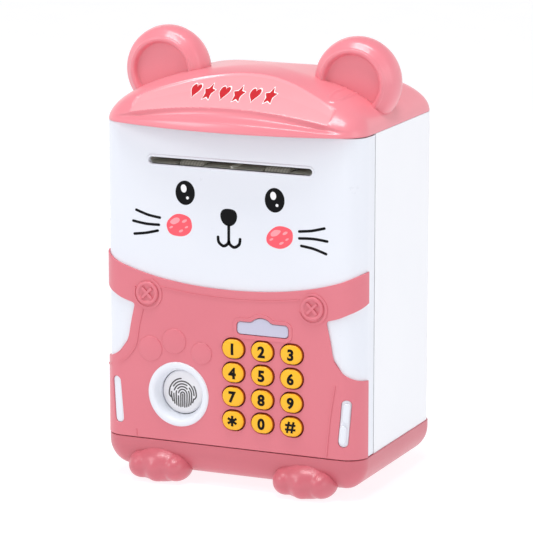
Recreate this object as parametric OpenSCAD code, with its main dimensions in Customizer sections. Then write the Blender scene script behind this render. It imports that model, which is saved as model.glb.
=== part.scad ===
// Toy cash machine savings bank with a mouse face.
// Millimetres, +Z up, door facing -Y. The origin is under the middle of the bank, on its resting plane.

/* [Case] */
// Width across the side walls
body_w = 130; // [116:1:156]
// Depth from the door's face to the back of the case
body_d = 93; // [84:1:112]
// Height of the side walls between the base seam and the cap seam
side_h = 150; // [146:1:180]
// Height of the base tray, from its underside to the seam
base_h = 16; // [15:0.5:20]
// Radius that rounds the underside of the base
base_round = 13; // [8:0.5:14]
// How far the base stands proud of the walls
base_proud = 0.6; // [0.2:0.1:1.2]
// Gap under the base, filled by the paws and the rear pads
foot_h = 4; // [3:0.5:6]
// Wall thickness of the moulded shells
wall = 2.2; // [1.8:0.1:2.6]
// Radius of the upright corners
corner_r = 10; // [9:0.5:12]
// Height of the cap above its seam
cap_h = 24.5; // [22:0.5:30]
// How far the cap's visor reaches in front of the door
visor_out = 11.4; // [9:0.2:13]
// Radius of the visor's front arc
visor_r = 181; // [160:1:260]
// Radius of the visor's corners
visor_corner_r = 14; // [10:0.5:18]

/* [Door] */
// Depth of the door from its face to the gap
door_d = 17; // [16.5:0.5:20]
// Gap around the door
door_gap = 0.6; // [0.4:0.1:1]
// Thickness of the panel laid over the door's lower half
panel_t = 1; // [0.8:0.1:1.4]
// Width of plain door left beside the gap
strip_w = 8.4; // [8:0.2:12]
// Height of the neckline above the base seam
neck_h = 75.2; // [74:0.2:77]
// Radius of the hinge pins
pin_r = 1.25; // [1:0.05:1.4]
// Radial clearance of pins and shafts in their bores
fit = 0.05; // [0.02:0.01:0.1]

/* [Note slot and feed] */
// Width of the note slot
slot_w = 82; // [72:1:86]
// Height of the note slot
slot_h = 3.2; // [2.6:0.1:3.6]
// Height of the slot's centre above the base seam
slot_z = 133.2; // [131:0.2:136]
// Radius of the feed rollers
roller_r = 5; // [4.4:0.1:5.2]
// Radius of the feed shafts
shaft_r = 1.5; // [1.2:0.1:1.8]

/* [Keypad] */
// Distance between key columns
key_dx = 14.65; // [13.8:0.05:15.4]
// Distance between key rows
key_dz = 11.4; // [10.8:0.05:12]
// Width of a key's top
key_w = 10.8; // [9.6:0.1:11.4]
// Height of a key's top
key_h = 9; // [8:0.1:9.4]
// Travel of a key
key_travel = 1; // [0.6:0.1:1.1]
// Height of a key above the panel
key_out = 1.8; // [1.4:0.1:2.4]

/* [Finger bowl] */
// Radius of the bowl's rim
bowl_r = 15.5; // [14.5:0.1:15.9]
// Radius of the pad at the bottom of the bowl
pad_r = 10.5; // [9:0.1:11]
// Depth of the bowl
bowl_depth = 5.4; // [4.8:0.1:5.6]

/* [Ears and paws] */
// Radius of an ear
ear_r = 20.8; // [18:0.2:22]
// Thickness of an ear
ear_t = 18.4; // [16:0.2:22]
// Distance of an ear's centre from the middle
ear_x = 48; // [45:0.5:50]
// Distance of a paw's centre from the middle
paw_x = 37; // [33:0.5:40]

/* [Hidden] */
$fn = 64;
KEYS = ["key_1", "key_2", "key_3", "key_4", "key_5", "key_6", "key_7", "key_8", "key_9",
    "key_star", "key_0", "key_hash"];

PINK = [0.91, 0.54, 0.60];
WHITE = [0.95, 0.95, 0.97];
YELLOW = [0.98, 0.74, 0.09];
STEEL = [0.72, 0.73, 0.75];
RUBBER = [0.85, 0.84, 0.80];
e = 0.01;                                   // thickness of a hull's layer
hull_fn = 32;

// Overall places
overall_d = visor_out + body_d + base_proud;
half_w = body_w / 2;
y_face = visor_out - overall_d / 2;         // front of the plain door
y_gap = y_face + door_d;                    // middle of the gap between door and case
y_back = y_face + body_d;                   // back of the case
z_base = foot_h;                            // underside of the base
z_seam = foot_h + base_h;                   // base seam
z_cap = z_seam + side_h;                    // cap seam
y_door_end = y_gap - door_gap / 2;          // back edge of the door
y_case_front = y_gap + door_gap / 2;        // front edge of the case
y_in = y_face + wall;                       // inside of the door's front
z_door = [z_seam + 0.4, z_cap - 0.4];
y_panel = y_face - panel_t;                 // front of the belly panel

// Door back plate
plate_t = 2;
y_plate = y_door_end - plate_t;

// Hinge: the door's left edge is a barrel round the pins
barrel_r = 3;
hinge_x = -half_w + barrel_r;
hinge_y = y_door_end - barrel_r;
pin_in_door = 12;
pin_in_case = 7;                            // depth of the lower pin in the tray
pin_in_cap = 3.6;                           // depth of the upper pin in the cap

// Screws
screw_r = 1.25;
head_r = 2.7;
head_h = 1.8;
boss_r = 4;
boss_in = 7.5;                              // distance of a case boss from the outer walls
boss_h = 12;
cap_bite = 4.6;                             // how far a case screw bites into the cap
case_boss = [for (x = [-1, 1], y = [0, 1])
    [x * (half_w - boss_in), y == 0 ? y_case_front + boss_in + 3 : y_back - boss_in]];

// Feed
slot_c = z_seam + slot_z;
feed_y = (y_in + y_plate) / 2;
nip = 0.4;                                  // gap between the rollers
upper_z = slot_c + nip / 2 + roller_r;
lower_z = slot_c - nip / 2 - roller_r;
tyre_x = 21.5;
tyre_w = 12;
cheek_t = 2;
cheek_x = slot_w / 2 + 1;                   // inside face of a cheek
frame_y = [y_in + 0.2, y_plate];
frame_z = [lower_z - 6, upper_z + 7];
gear_w = 2.4;
gear_x = cheek_x + cheek_t + 0.5;           // inner face of a gear
drive_m = 0.5;
drive_teeth = 20;
pinion_teeth = 10;
sync_teeth = 20;
sync_m = (upper_z - lower_z) / sync_teeth;
pinion_z = upper_z - drive_m * (drive_teeth + pinion_teeth) / 2;
motor_r = 5;
motor_l = 10;
motor_x = gear_x + gear_w + 0.5;            // inner end of the motor
motor_shaft_r = 1;

// Keypad
key_x0 = 16.9;                              // middle column
key_z0 = z_seam + 30.8;                     // middle of the four rows
hole_gap = 0.6;                             // gap round a key in the panel
mat_y = [y_in + 3.2, y_in + 4.4];
board_t = 1.6;
dome_h = 0.8;

// Finger bowl
bowl_x = -26;
bowl_z = z_seam + 23.2;
rim_out = 0.8;
bowl_tube_r = bowl_r - 1.1;
y_rim = y_panel - rim_out;
y_pad = y_rim + bowl_depth;
pad_gap = 0.3;
pad_t = 1.6;
pad_travel = 0.8;

// Door screws and the posts that hold the board
door_boss = [for (x = [-50, 50], z = [9, 116]) [x, z_seam + z]];
board_x = [-40, 44];
board_z = [z_seam + 6, z_seam + 71];
board_post = [for (x = board_x, z = board_z)
    [x + (x < 0 ? 3 : -3), z + (z == board_z[0] ? 3 : -3)]];

// Strap buttons and the pockets' slots
strap_x = 41.7;
strap_z = z_seam + 70.4;
strap_r = 6.2;
strap_h = 1.6;
pocket_x = half_w - 8.2;
pocket_z = z_seam + 22.6;
pocket_w = 21;
pocket_h = 4.6;
pocket_lean = 8;

// Corners of a sleeve's opening, from the middle of the door and above the base seam
ARM_HOLE = [[48.6, 64.6], [55.4, 66.9], [60.3, 69.2], [70, 73.2], [70, 36.2], [63.6, 37.2],
    [58.2, 40.2], [53.6, 43.6], [51.6, 46.6], [50.4, 56]];

// Window over the keypad
win_x = 17.4;
win_z = z_seam + 57;
win_w = 26.5;
win_h = 5.4;
win_bump_r = 5.4;

// Batteries
cell_r = 7.1;
cell_l = 50;
cell_pitch = 15;
box_t = 1.6;
box_z = z_seam + 32;                        // middle of the battery box
box_in_w = cell_l + 4;
box_in_h = 3 * cell_pitch + 1;
box_deep = 2 * cell_r + 1;
cover_t = 1.6;
cover_gap = 0.2;
lip = 1.2;

// Latch
latch_z = z_seam + 88;
latch_y = y_in + 7.6;
bolt_r = 2.2;
coil_x = [36, 54];
bolt_tip = half_w - 6.8;
strike_x = half_w - 6;

// Speaker
speaker_r = 14;
speaker_x = 20;
speaker_z = z_seam + 100;

// Cap: 2 gives an ellipse, and a lower power a flatter slope
cap_side_n = 2;
cap_front_n = 1.7;

// Ears
ear_y = -4;
ear_z = z_cap + 20;
ear_screw = 15;                             // length of an ear's screw above its head
ear_wall = 2;
ear_lip_r = ear_r - 4.2;
ear_cover_t = 2;

// A rectangle between y0 and y1 with four round corners
module round_plan(hw, y0, y1, r) {
    translate([-hw + r, y0]) square([2 * (hw - r), y1 - y0]);
    translate([-hw, y0 + r]) square([2 * hw, y1 - y0 - 2 * r]);
    for (x = [-1, 1], y = [y0 + r, y1 - r])
        translate([x * (hw - r), y]) circle(r);
}

// The door's outline seen from above, with square back corners; i moves it inwards
module door_plan(i, y_end = y_door_end) {
    hw = half_w - i;
    r = corner_r - i;
    intersection() {
        union() {
            translate([-hw + r, y_face + i]) square([2 * (hw - r), 2 * door_d]);
            translate([-hw, y_face + corner_r]) square([2 * hw, 2 * door_d]);
            for (x = [-1, 1]) translate([x * (hw - r), y_face + corner_r]) circle(r);
        }
        translate([-body_w, y_face - corner_r]) square([2 * body_w, y_end - y_face + corner_r]);
    }
}

// A flat outline in X and Z, thickened from y0 back to y1
module from_front(y0, y1) {
    translate([0, y1, 0]) rotate([90, 0, 0]) linear_extrude(y1 - y0) children();
}

// A round bar along Y, X or Z
module bar_y(x, z, r, y0, y1) {
    from_front(y0, y1) translate([x, z]) circle(r);
}
module bar_x(y, z, r, x0, x1) {
    translate([x0, y, z]) rotate([0, 90, 0]) cylinder(r = r, h = x1 - x0);
}
module bar_z(p, r, z0, z1) {
    translate([p[0], p[1], z0]) cylinder(r = r, h = z1 - z0);
}

// A block between two corners
module block(a, b) {
    translate(a) cube(b - a);
}

// A flat oval with round ends
module oval(w, h) {
    square([w - h, h], center = true);
    for (x = [-1, 1]) translate([x * (w - h) / 2, 0]) circle(h / 2);
}

// ---- Case ----

// The base's outer form, or its inside when i is the wall
module base_form(i) {
    p = base_proud - i;
    r = base_round - i;
    hull() for (a = [0 : 15 : 90]) {
        s = r * (1 - sin(a));
        translate([0, 0, z_base + i + r * (1 - cos(a))])
            linear_extrude(a == 90 ? base_h - base_round + (i > 0 ? 1 : 0) : e)
                round_plan(half_w + p - s, y_face - panel_t - p + s + base_proud,
                    y_back + p - s, corner_r + p - min(s, corner_r - 3), $fn = hull_fn);
    }
}

module base_tray() {
    color(PINK) difference() {
        union() {
            difference() {
                base_form(0);
                base_form(wall);
            }
            intersection() {
                base_form(0);
                union() {
                    for (p = case_boss) bar_z(p, boss_r, z_base, z_seam);
                    bar_z([hinge_x, hinge_y], barrel_r - 0.2, z_base, z_seam);
                }
            }
        }
        for (p = case_boss) {
            bar_z(p, screw_r + 0.25, z_base - 1, z_seam + 1);
            bar_z(p, head_r + 0.3, z_base - 1, z_seam - 6);
        }
        bar_z([hinge_x, hinge_y], pin_r, z_seam - pin_in_case, z_seam + 1);
    }
}

module case_plan(i) {
    intersection() {
        round_plan(half_w - i, y_face, y_back - i, corner_r - i);
        translate([-half_w, y_case_front]) square([body_w, body_d]);
    }
}

module rear_shell() {
    color(WHITE) difference() {
        union() {
            translate([0, 0, z_seam]) linear_extrude(side_h) difference() {
                case_plan(0);
                translate([0, -1]) case_plan(wall);
                case_plan(wall);
            }
            intersection() {
                translate([0, 0, z_seam]) linear_extrude(side_h) case_plan(0);
                for (p = case_boss) {
                    bar_z(p, boss_r, z_seam, z_seam + boss_h);
                    bar_z(p, boss_r, z_cap - boss_h, z_cap);
                    for (z = [z_seam, z_cap - boss_h])
                        block([p[0] > 0 ? p[0] : -half_w, p[1] - 1, z],
                            [p[0] > 0 ? half_w : p[0], p[1] + 1, z + boss_h]);
                }
            }
        }
        for (p = case_boss) {
            bar_z(p, screw_r + fit, z_seam - 1, z_seam + boss_h + 1);
            bar_z(p, screw_r + fit, z_cap - boss_h - 1, z_cap + 1);
        }
    }
}

// How wide the cap still is at a share s of its height
function dome(s, n) = pow(1 - pow(s, n), 1 / n);

// The corners of the cap's outline, with the visor's arc across the front, for use inside a hull
module cap_plan() {
    hd = overall_d / 2;
    side = half_w - visor_corner_r;
    touch_x = side * visor_r / (visor_r - visor_corner_r);
    for (x = [-1, 1]) {
        translate([x * side, visor_r - hd - sqrt(pow(visor_r - visor_corner_r, 2) - side * side)])
            circle(visor_corner_r, $fn = 48);
        translate([x * (half_w - corner_r), y_back - corner_r]) circle(corner_r, $fn = 48);
    }
    intersection() {
        translate([-touch_x, -hd]) square([2 * touch_x, hd]);
        translate([0, visor_r - hd]) circle(visor_r, $fn = 360);
    }
}

// The cap's outer form, or its inside when i is the wall
module cap_form(i) {
    hd = overall_d / 2;
    hull() for (s = [0, 0.2, 0.4, 0.56, 0.7, 0.82, 0.91, 0.965, 0.995]) {
        side = dome(s, cap_side_n);
        front = dome(s, cap_front_n);
        translate([0, (hd - i) * (side - front) / 2, z_cap + (cap_h - i) * s])
            linear_extrude(e)
                scale([side * (half_w - i) / half_w, (side + front) / 2 * (hd - i) / hd]) cap_plan();
    }
}

module cap_shell() {
    color(PINK) difference() {
        union() {
            difference() {
                cap_form(0);
                translate([0, 0, -e]) cap_form(wall);
            }
            intersection() {
                cap_form(0);
                union() {
                    for (p = case_boss) bar_z(p, boss_r, z_cap, z_cap + cap_h);
                    bar_z([hinge_x, hinge_y], barrel_r - 0.2, z_cap, z_cap + pin_in_cap + 2);
                    for (x = [-1, 1]) bar_z([x * ear_x, ear_y], boss_r, z_cap + 11, z_cap + cap_h);
                }
            }
        }
        for (p = case_boss) bar_z(p, screw_r + fit, z_cap - 1, z_cap + cap_bite + 1);
        bar_z([hinge_x, hinge_y], pin_r, z_cap - 1, z_cap + pin_in_cap);
        for (x = [-1, 1]) bar_z([x * ear_x, ear_y], screw_r + 0.25, z_cap, z_cap + cap_h + 5);
    }
}

// An ear is turned about Y: a front lip round a shallow dish, a round rim and an open back
module ear(side) {
    y0 = ear_y - ear_t / 2;
    color(PINK) difference() {
        union() {
            translate([side * ear_x, ear_y, ear_z]) rotate([90, 0, 0]) rotate_extrude()
                polygon([[0, ear_t / 2 - 2.8], [ear_lip_r - 2.4, ear_t / 2 - 2.8],
                    [ear_lip_r - 1.2, ear_t / 2], [ear_lip_r, ear_t / 2],
                    for (a = [80 : -16 : 0]) [ear_r - 4 + 4 * cos(a), ear_t / 2 - 5 + 5 * sin(a)],
                    for (a = [0 : -15 : -60]) [ear_r - 6 + 6 * cos(a), -ear_t / 2 + 7 + 7 * sin(a)],
                    [ear_r - 3.4, -ear_t / 2], [ear_r - 5, -ear_t / 2],
                    [ear_r - ear_wall - 1.5, -ear_t / 2 + 3],
                    [ear_r - ear_wall, ear_t / 2 - 8], [ear_r - ear_wall - 4, ear_t / 2 - 5],
                    [0, ear_t / 2 - 2.8 - ear_wall]]);
            bar_z([side * ear_x, ear_y], 3.2, z_cap + 12, ear_z + 10);
            block([side * ear_x - 1, y0 + 4, z_cap + 16], [side * ear_x + 1, ear_y + 3, ear_z + ear_r - 1]);
        }
        cap_form(0);
        bar_z([side * ear_x, ear_y], screw_r + fit, z_cap, ear_z + 8);
    }
}

module ear_back(side) {
    y1 = ear_y + ear_t / 2;
    color(PINK) difference() {
        bar_y(side * ear_x, ear_z, ear_r - 5.05, y1 - ear_cover_t, y1);
        cap_form(0);
    }
}

module screw_up(p, z_head, length) {
    bar_z(p, head_r, z_head, z_head + head_h);
    bar_z(p, screw_r, z_head, z_head + head_h + length);
}

module ear_screws() {
    color(STEEL) for (x = [-1, 1])
        screw_up([x * ear_x, ear_y], z_cap + 11 - head_h, ear_screw);
}

module case_screws() {
    color(STEEL) for (p = case_boss) {
        screw_up(p, z_seam - 6 - head_h, 6 + 9);
        screw_up(p, z_cap - boss_h - head_h, boss_h + cap_bite);
    }
}

// A paw has three toes under one dome
module paw(side) {
    front = y_panel - 7.6;
    color(PINK) difference() {
        union() {
            for (d = [-1, 0, 1]) hull() {
                toe = d == 0 ? 0 : 1.2;
                translate([side * paw_x + d * 9.6, front + 6 + toe, 5.6]) sphere(6, $fn = hull_fn);
                translate([side * paw_x + d * 4.4, front + 10, 10.4]) sphere(7, $fn = hull_fn);
            }
            hull() for (d = [-1, 1])
                translate([side * paw_x + d * 5.2, front + 12, 9]) sphere(8.4, $fn = hull_fn);
        }
        base_form(0);
        translate([side * paw_x, front, -20]) cube([60, 90, 40], center = true);
    }
}

module rear_pads() {
    color([0.35, 0.33, 0.34]) for (x = [-1, 1])
        bar_z([x * (half_w - 23), y_back - 20], 8, 0, foot_h);
}

module hinge_pins() {
    color(STEEL) {
        bar_z([hinge_x, hinge_y], pin_r, z_seam - pin_in_case, z_door[0] + pin_in_door);
        bar_z([hinge_x, hinge_y], pin_r, z_door[1] - pin_in_door, z_cap + pin_in_cap);
    }
}

// The strike reaches forward from the right wall into the door, with a square window for the bolt
module latch_strike() {
    color(STEEL) difference() {
        union() {
            block([strike_x, latch_y - 4.6, latch_z - 5], [strike_x + 1.5, y_case_front + 8, latch_z + 5]);
            block([strike_x, y_case_front + 1, latch_z - 5], [half_w - wall, y_case_front + 10, latch_z + 5]);
        }
        block([strike_x - 1, latch_y - bolt_r - 0.4, latch_z - bolt_r - 0.4],
            [strike_x + 3, latch_y + bolt_r + 0.4, latch_z + bolt_r + 0.4]);
    }
}

// ---- Door ----

function key_pos(k) = [key_x0 + (k % 3 - 1) * key_dx, key_z0 + (1.5 - floor(k / 3)) * key_dz];

// Height of the panel's neckline above the ground
function neck(x) = z_seam + neck_h + 0.0021 * x * x + 1.86e-7 * pow(x, 4);

module key_holes(grow) {
    for (k = [0 : 11]) translate(key_pos(k)) oval(key_w + 2 * grow, key_h + 2 * grow);
}

module window_plan(grow) {
    translate([win_x, win_z]) {
        oval(win_w + 2 * grow, win_h + 2 * grow);
        translate([-0.5, win_h / 2 - 1.2]) circle(win_bump_r + grow);
    }
}

// A leaning slot near each front corner shows the door through the panel
module pocket_plan() {
    for (x = [-1, 1]) translate([x * pocket_x, pocket_z]) rotate(90 - x * pocket_lean)
        oval(pocket_w, pocket_h);
}

module door_shell() {
    color(WHITE) difference() {
        union() {
            difference() {
                translate([0, 0, z_door[0]]) linear_extrude(z_door[1] - z_door[0]) door_plan(0);
                translate([0, 0, z_door[0] + wall]) linear_extrude(z_door[1] - z_door[0] - 2 * wall)
                    door_plan(wall, y_door_end + 1);
                translate([-half_w - 1, hinge_y, z_door[0] - 1]) cube([barrel_r + 1, 20, side_h + 2]);
            }
            bar_z([hinge_x, hinge_y], barrel_r, z_door[0], z_door[1]);
            for (p = board_post) bar_y(p[0], p[1], 2, y_in - 0.5, mat_y[1]);
            for (p = door_boss) bar_y(p[0], p[1], 3, y_in - 0.5, y_plate);
        }
        for (p = door_boss) bar_y(p[0], p[1], screw_r + fit, y_in + 2, y_plate + 1);
        from_front(y_face - 1, y_in + 1) {
            translate([0, slot_c]) oval(slot_w, slot_h);
            key_holes(hole_gap);
            window_plan(0.15);
        }
        bar_y(bowl_x, bowl_z, bowl_tube_r + 0.1, y_face - 1, y_in + 1);
        bar_z([hinge_x, hinge_y], pin_r + fit, z_door[0] - 1, z_door[0] + pin_in_door + 0.3);
        bar_z([hinge_x, hinge_y], pin_r + fit, z_door[1] - pin_in_door - 0.3, z_door[1] + 1);
    }
}

module door_back() {
    w = half_w - wall - 0.2;
    x0 = hinge_x + barrel_r + 0.2;
    color(WHITE) difference() {
        block([x0, y_plate, z_door[0] + wall + 0.2], [w, y_door_end, z_door[1] - wall - 0.2]);
        block([-slot_w / 2 - 0.5, y_plate - 1, slot_c - slot_h / 2],
            [slot_w / 2 + 0.5, y_door_end + 1, slot_c + slot_h / 2]);
        block([strike_x - 3, y_plate - 1, latch_z - 7], [half_w, y_door_end + 1, latch_z + 7]);
        for (p = door_boss) bar_y(p[0], p[1], screw_r + 0.25, y_plate - 1, y_door_end + 1);
        for (a = [0 : 60 : 300])
            bar_y(speaker_x + 6 * cos(a), speaker_z + 6 * sin(a), 1.2, y_plate - 1, y_door_end + 1);
        bar_y(speaker_x, speaker_z, 1.2, y_plate - 1, y_door_end + 1);
    }
}

module door_screws() {
    color(STEEL) for (p = door_boss) {
        bar_y(p[0], p[1], screw_r, y_plate - 8, y_door_end);
        bar_y(p[0], p[1], head_r, y_door_end, y_door_end + head_h);
    }
}

// The belly panel hugs the door's front and corners, under a neckline and round two arm holes
module belly_panel() {
    side_x = half_w + 4;
    color(PINK) difference() {
        intersection() {
            translate([0, 0, z_door[0]]) linear_extrude(neck(side_x) - z_door[0]) difference() {
                intersection() {
                    door_plan(-panel_t);
                    translate([-half_w - 5, y_face - 5]) square([body_w + 10, door_d - strip_w + 5]);
                }
                door_plan(0);
            }
            from_front(y_face - 10, y_gap) polygon([[-side_x, z_seam],
                for (x = [-side_x : 3 : side_x]) [x, neck(x)], [side_x, neck(side_x)], [side_x, z_seam]]);
        }
        from_front(y_face - 10, y_gap) {
            for (m = [0, 1]) mirror([m, 0]) translate([0, z_seam]) polygon(ARM_HOLE);
            pocket_plan();
            key_holes(hole_gap);
            window_plan(0.15);
        }
        bar_y(bowl_x, bowl_z, bowl_tube_r + 0.1, y_face - 5, y_in);
    }
}

// A sewn-on button: a dish with a rim and a cross of thread
module strap_button(side) {
    dish_z = strap_h / 2;
    color(PINK) translate([side * strap_x, y_panel, strap_z]) rotate([90, 0, 0]) {
        difference() {
            cylinder(r = strap_r, h = strap_h);
            translate([0, 0, dish_z]) cylinder(r = strap_r - 1.6, h = strap_h);
        }
        for (a = [45, 135]) rotate(a) translate([-2.6, -0.5, dish_z]) cube([5.2, 1, 0.6]);
    }
}

module finger_bowl() {
    color(WHITE) translate([bowl_x, 0, bowl_z]) rotate([-90, 0, 0]) rotate_extrude()
        polygon([[bowl_r, y_panel], [bowl_r, y_rim + 0.3], [bowl_r - 0.5, y_rim], [bowl_r - 1.6, y_rim],
            [pad_r + 1.2, y_pad - 1], [pad_r + pad_gap, y_pad], [pad_r + pad_gap, y_pad + 1.4],
            [bowl_tube_r, y_pad + 1.4], [bowl_tube_r, y_panel]]);
}

module finger_pad() {
    color(WHITE) {
        bar_y(bowl_x, bowl_z, pad_r, y_pad, y_pad + pad_t);
        bar_y(bowl_x, bowl_z, 3, y_pad + pad_t, mat_y[1] - pad_travel - 0.2);
    }
}

module window_lens() {
    color([0.78, 0.77, 0.85]) from_front(y_panel + 0.2, y_in) window_plan(0);
}

module key(k) {
    color(YELLOW) {
        from_front(y_panel - key_out, y_in + 0.1) translate(key_pos(k)) oval(key_w, key_h);
        from_front(y_in + 0.1, y_in + 1.1) translate(key_pos(k)) oval(key_w + 2, key_h + 1.8);
    }
}

module keypad_mat() {
    w = 2 * key_dx + key_w + 1;
    h = 3 * key_dz + key_h + 2;
    color([0.3, 0.3, 0.32]) {
        block([key_x0 - w / 2, mat_y[0], key_z0 - h / 2], [key_x0 + w / 2, mat_y[1], key_z0 + h / 2]);
        for (k = [0 : 11]) bar_y(key_pos(k)[0], key_pos(k)[1], 2.6, mat_y[0] - dome_h, mat_y[0]);
    }
}

module main_board() {
    color([0.10, 0.42, 0.25])
        block([board_x[0], mat_y[1], board_z[0]], [board_x[1], mat_y[1] + board_t, board_z[1]]);
}

module status_led() {
    color([0.9, 0.2, 0.2]) {
        bar_y(win_x, win_z, 2.5, y_in + 1, mat_y[1]);
        bar_y(win_x, win_z, 3, mat_y[1] - 1, mat_y[1]);
    }
}

module speaker() {
    color([0.2, 0.2, 0.22]) {
        bar_y(speaker_x, speaker_z, speaker_r, y_plate - 2, y_plate);
        bar_y(speaker_x, speaker_z, speaker_r - 5, y_plate - 5, y_plate - 2);
    }
}

// Two cheeks joined by the note guides, with a cradle for the motor
module feed_frame() {
    guide_t = 1.1;
    span = cheek_x + cheek_t;
    rear = frame_y[1] - 0.9;
    windows = [[-cheek_x, -tyre_x - tyre_w / 2 - 1], [-tyre_x + tyre_w / 2 + 1, tyre_x - tyre_w / 2 - 1],
        [tyre_x + tyre_w / 2 + 1, cheek_x]];
    color([0.9, 0.9, 0.88]) difference() {
        union() {
            for (x = [-span, cheek_x])
                block([x, frame_y[0], frame_z[0]], [x + cheek_t, frame_y[1], frame_z[1]]);
            block([-span, rear, frame_z[0]], [span, frame_y[1], slot_c - slot_h / 2]);
            block([-span, rear, slot_c + slot_h / 2], [span, frame_y[1], frame_z[1]]);
            for (w = windows) {
                block([w[0], frame_y[0], slot_c - slot_h / 2 - guide_t],
                    [w[1], frame_y[1], slot_c - slot_h / 2]);
                block([w[0], frame_y[0], slot_c + slot_h / 2],
                    [w[1], frame_y[1], slot_c + slot_h / 2 + guide_t]);
            }
            block([-0.6, frame_y[0], slot_c - slot_h / 2], [0.6, frame_y[1], slot_c - slot_h / 2 + 1]);
            block([-motor_x - motor_l, feed_y - 4.4, frame_z[0]],
                [-cheek_x, feed_y + 4.4, pinion_z - motor_r + 0.6]);
        }
        for (z = [upper_z, lower_z]) bar_x(feed_y, z, shaft_r + fit, -span - 1, span + 1);
        bar_x(feed_y, pinion_z, motor_r + fit, -motor_x - motor_l - 1, -gear_x + 0.3);
    }
}

// A toothed wheel along X whose first tooth points at angle a
module gear(teeth, m, a, bore) {
    rp = teeth * m / 2;
    p = PI * m;
    rotate([90, 0, 90]) linear_extrude(gear_w) difference() {
        union() {
            circle(rp - 1.15 * m);
            for (k = [0 : teeth - 1]) rotate(a + k * 360 / teeth)
                polygon([[rp - 1.3 * m, -0.3 * p], [rp + 0.85 * m, -0.13 * p],
                    [rp + 0.85 * m, 0.13 * p], [rp - 1.3 * m, 0.3 * p]]);
        }
        circle(bore);
    }
}

module feed_shaft() {
    color(STEEL) bar_x(feed_y, upper_z, shaft_r, -gear_x - gear_w - 0.3, gear_x + gear_w);
}

module idler_shaft() {
    color(STEEL) bar_x(feed_y, lower_z, shaft_r, -cheek_x - cheek_t, gear_x + gear_w);
}

module tyres(z) {
    color(RUBBER) for (x = [-1, 1]) difference() {
        bar_x(feed_y, z, roller_r, x * tyre_x - tyre_w / 2, x * tyre_x + tyre_w / 2);
        bar_x(feed_y, z, shaft_r, x * tyre_x - tyre_w, x * tyre_x + tyre_w);
    }
}

module feed_gear() {
    color([0.93, 0.93, 0.9]) translate([-gear_x - gear_w, feed_y, upper_z])
        gear(drive_teeth, drive_m, -90, shaft_r);
}

module sync_gear(z, a) {
    color([0.93, 0.93, 0.9]) translate([gear_x, feed_y, z]) gear(sync_teeth, sync_m, a, shaft_r);
}

module motor_pinion() {
    color([0.8, 0.8, 0.78]) translate([-gear_x - gear_w, feed_y, pinion_z])
        gear(pinion_teeth, drive_m, 90 + 180 / pinion_teeth, motor_shaft_r);
}

module motor_shaft() {
    color(STEEL) bar_x(feed_y, pinion_z, motor_shaft_r, -motor_x - 4, -gear_x);
}

module feed_motor() {
    color(STEEL) difference() {
        bar_x(feed_y, pinion_z, motor_r, -motor_x - motor_l, -motor_x);
        bar_x(feed_y, pinion_z, motor_shaft_r + fit, -motor_x - 4.5, -motor_x + 1);
    }
}

// The battery box is open to the back, between two grooved rails
module battery_box() {
    w = box_in_w / 2;
    h = box_in_h / 2;
    y0 = y_door_end;
    y1 = y0 + box_t + box_deep;              // seat of the cover
    y2 = y1 + cover_t + 2 * cover_gap;       // inside of the rail's lip
    color(WHITE) translate([0, 0, box_z]) difference() {
        block([-w - box_t, y0, -h - box_t - 2], [w + box_t, y2 + lip, h + box_t + 2]);
        block([-w, y0 + box_t, -h], [w, y2 + 5, h]);
        block([-w - box_t - 1, y1, -h - box_t], [w + box_t + 1, y2, h + box_t]);
        block([-w - box_t - 1, y1, -h], [w + box_t + 1, y2 + 5, h]);
    }
}

module battery_cover() {
    w = box_in_w / 2 + box_t;
    h = box_in_h / 2 + box_t - cover_gap;
    y1 = y_door_end + box_t + box_deep + cover_gap;
    color(WHITE) translate([0, 0, box_z]) {
        block([-w, y1, -h], [w, y1 + cover_t, h]);
        for (x = [-3, 0, 3])
            block([-w + 6 + x, y1 + cover_t, -8], [-w + 7 + x, y1 + cover_t + 0.8, 8]);
    }
}

module batteries() {
    cell_y = y_door_end + box_t + 0.3 + cell_r;
    color([0.25, 0.45, 0.3]) for (k = [-1 : 1]) {
        d = k == 0 ? -1 : 1;
        z = box_z + k * cell_pitch;
        bar_x(cell_y, z, cell_r, -cell_l / 2 + (d < 0 ? 1.5 : 0), cell_l / 2 - (d > 0 ? 1.5 : 0));
        bar_x(cell_y, z, 2.7, d > 0 ? cell_l / 2 - 1.5 : -cell_l / 2, d > 0 ? cell_l / 2 : -cell_l / 2 + 1.5);
    }
}

module battery_contacts() {
    cell_y = y_door_end + box_t + 0.3 + cell_r;
    color(STEEL) for (k = [-1 : 1], x = [-1, 1])
        block([x > 0 ? cell_l / 2 : -box_in_w / 2, cell_y - 5, box_z + k * cell_pitch - 5],
            [x > 0 ? box_in_w / 2 : -cell_l / 2, cell_y + 5, box_z + k * cell_pitch + 5]);
}

module solenoid() {
    color([0.75, 0.55, 0.3]) difference() {
        block([coil_x[0], latch_y - 4.6, latch_z - 5], [coil_x[1], y_plate, latch_z + 5]);
        bar_x(latch_y, latch_z, bolt_r + fit, coil_x[0] - 1, coil_x[1] + 1);
    }
}

module latch_bolt() {
    color(STEEL) {
        bar_x(latch_y, latch_z, bolt_r, coil_x[0] - 1, bolt_tip);
        bar_x(latch_y, latch_z, bolt_r + 0.9, coil_x[0] - 5.2, coil_x[0] - 4.2);
        bar_x(latch_y, latch_z, bolt_r, coil_x[0] - 5.2, coil_x[0] - 1);
    }
}

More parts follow.
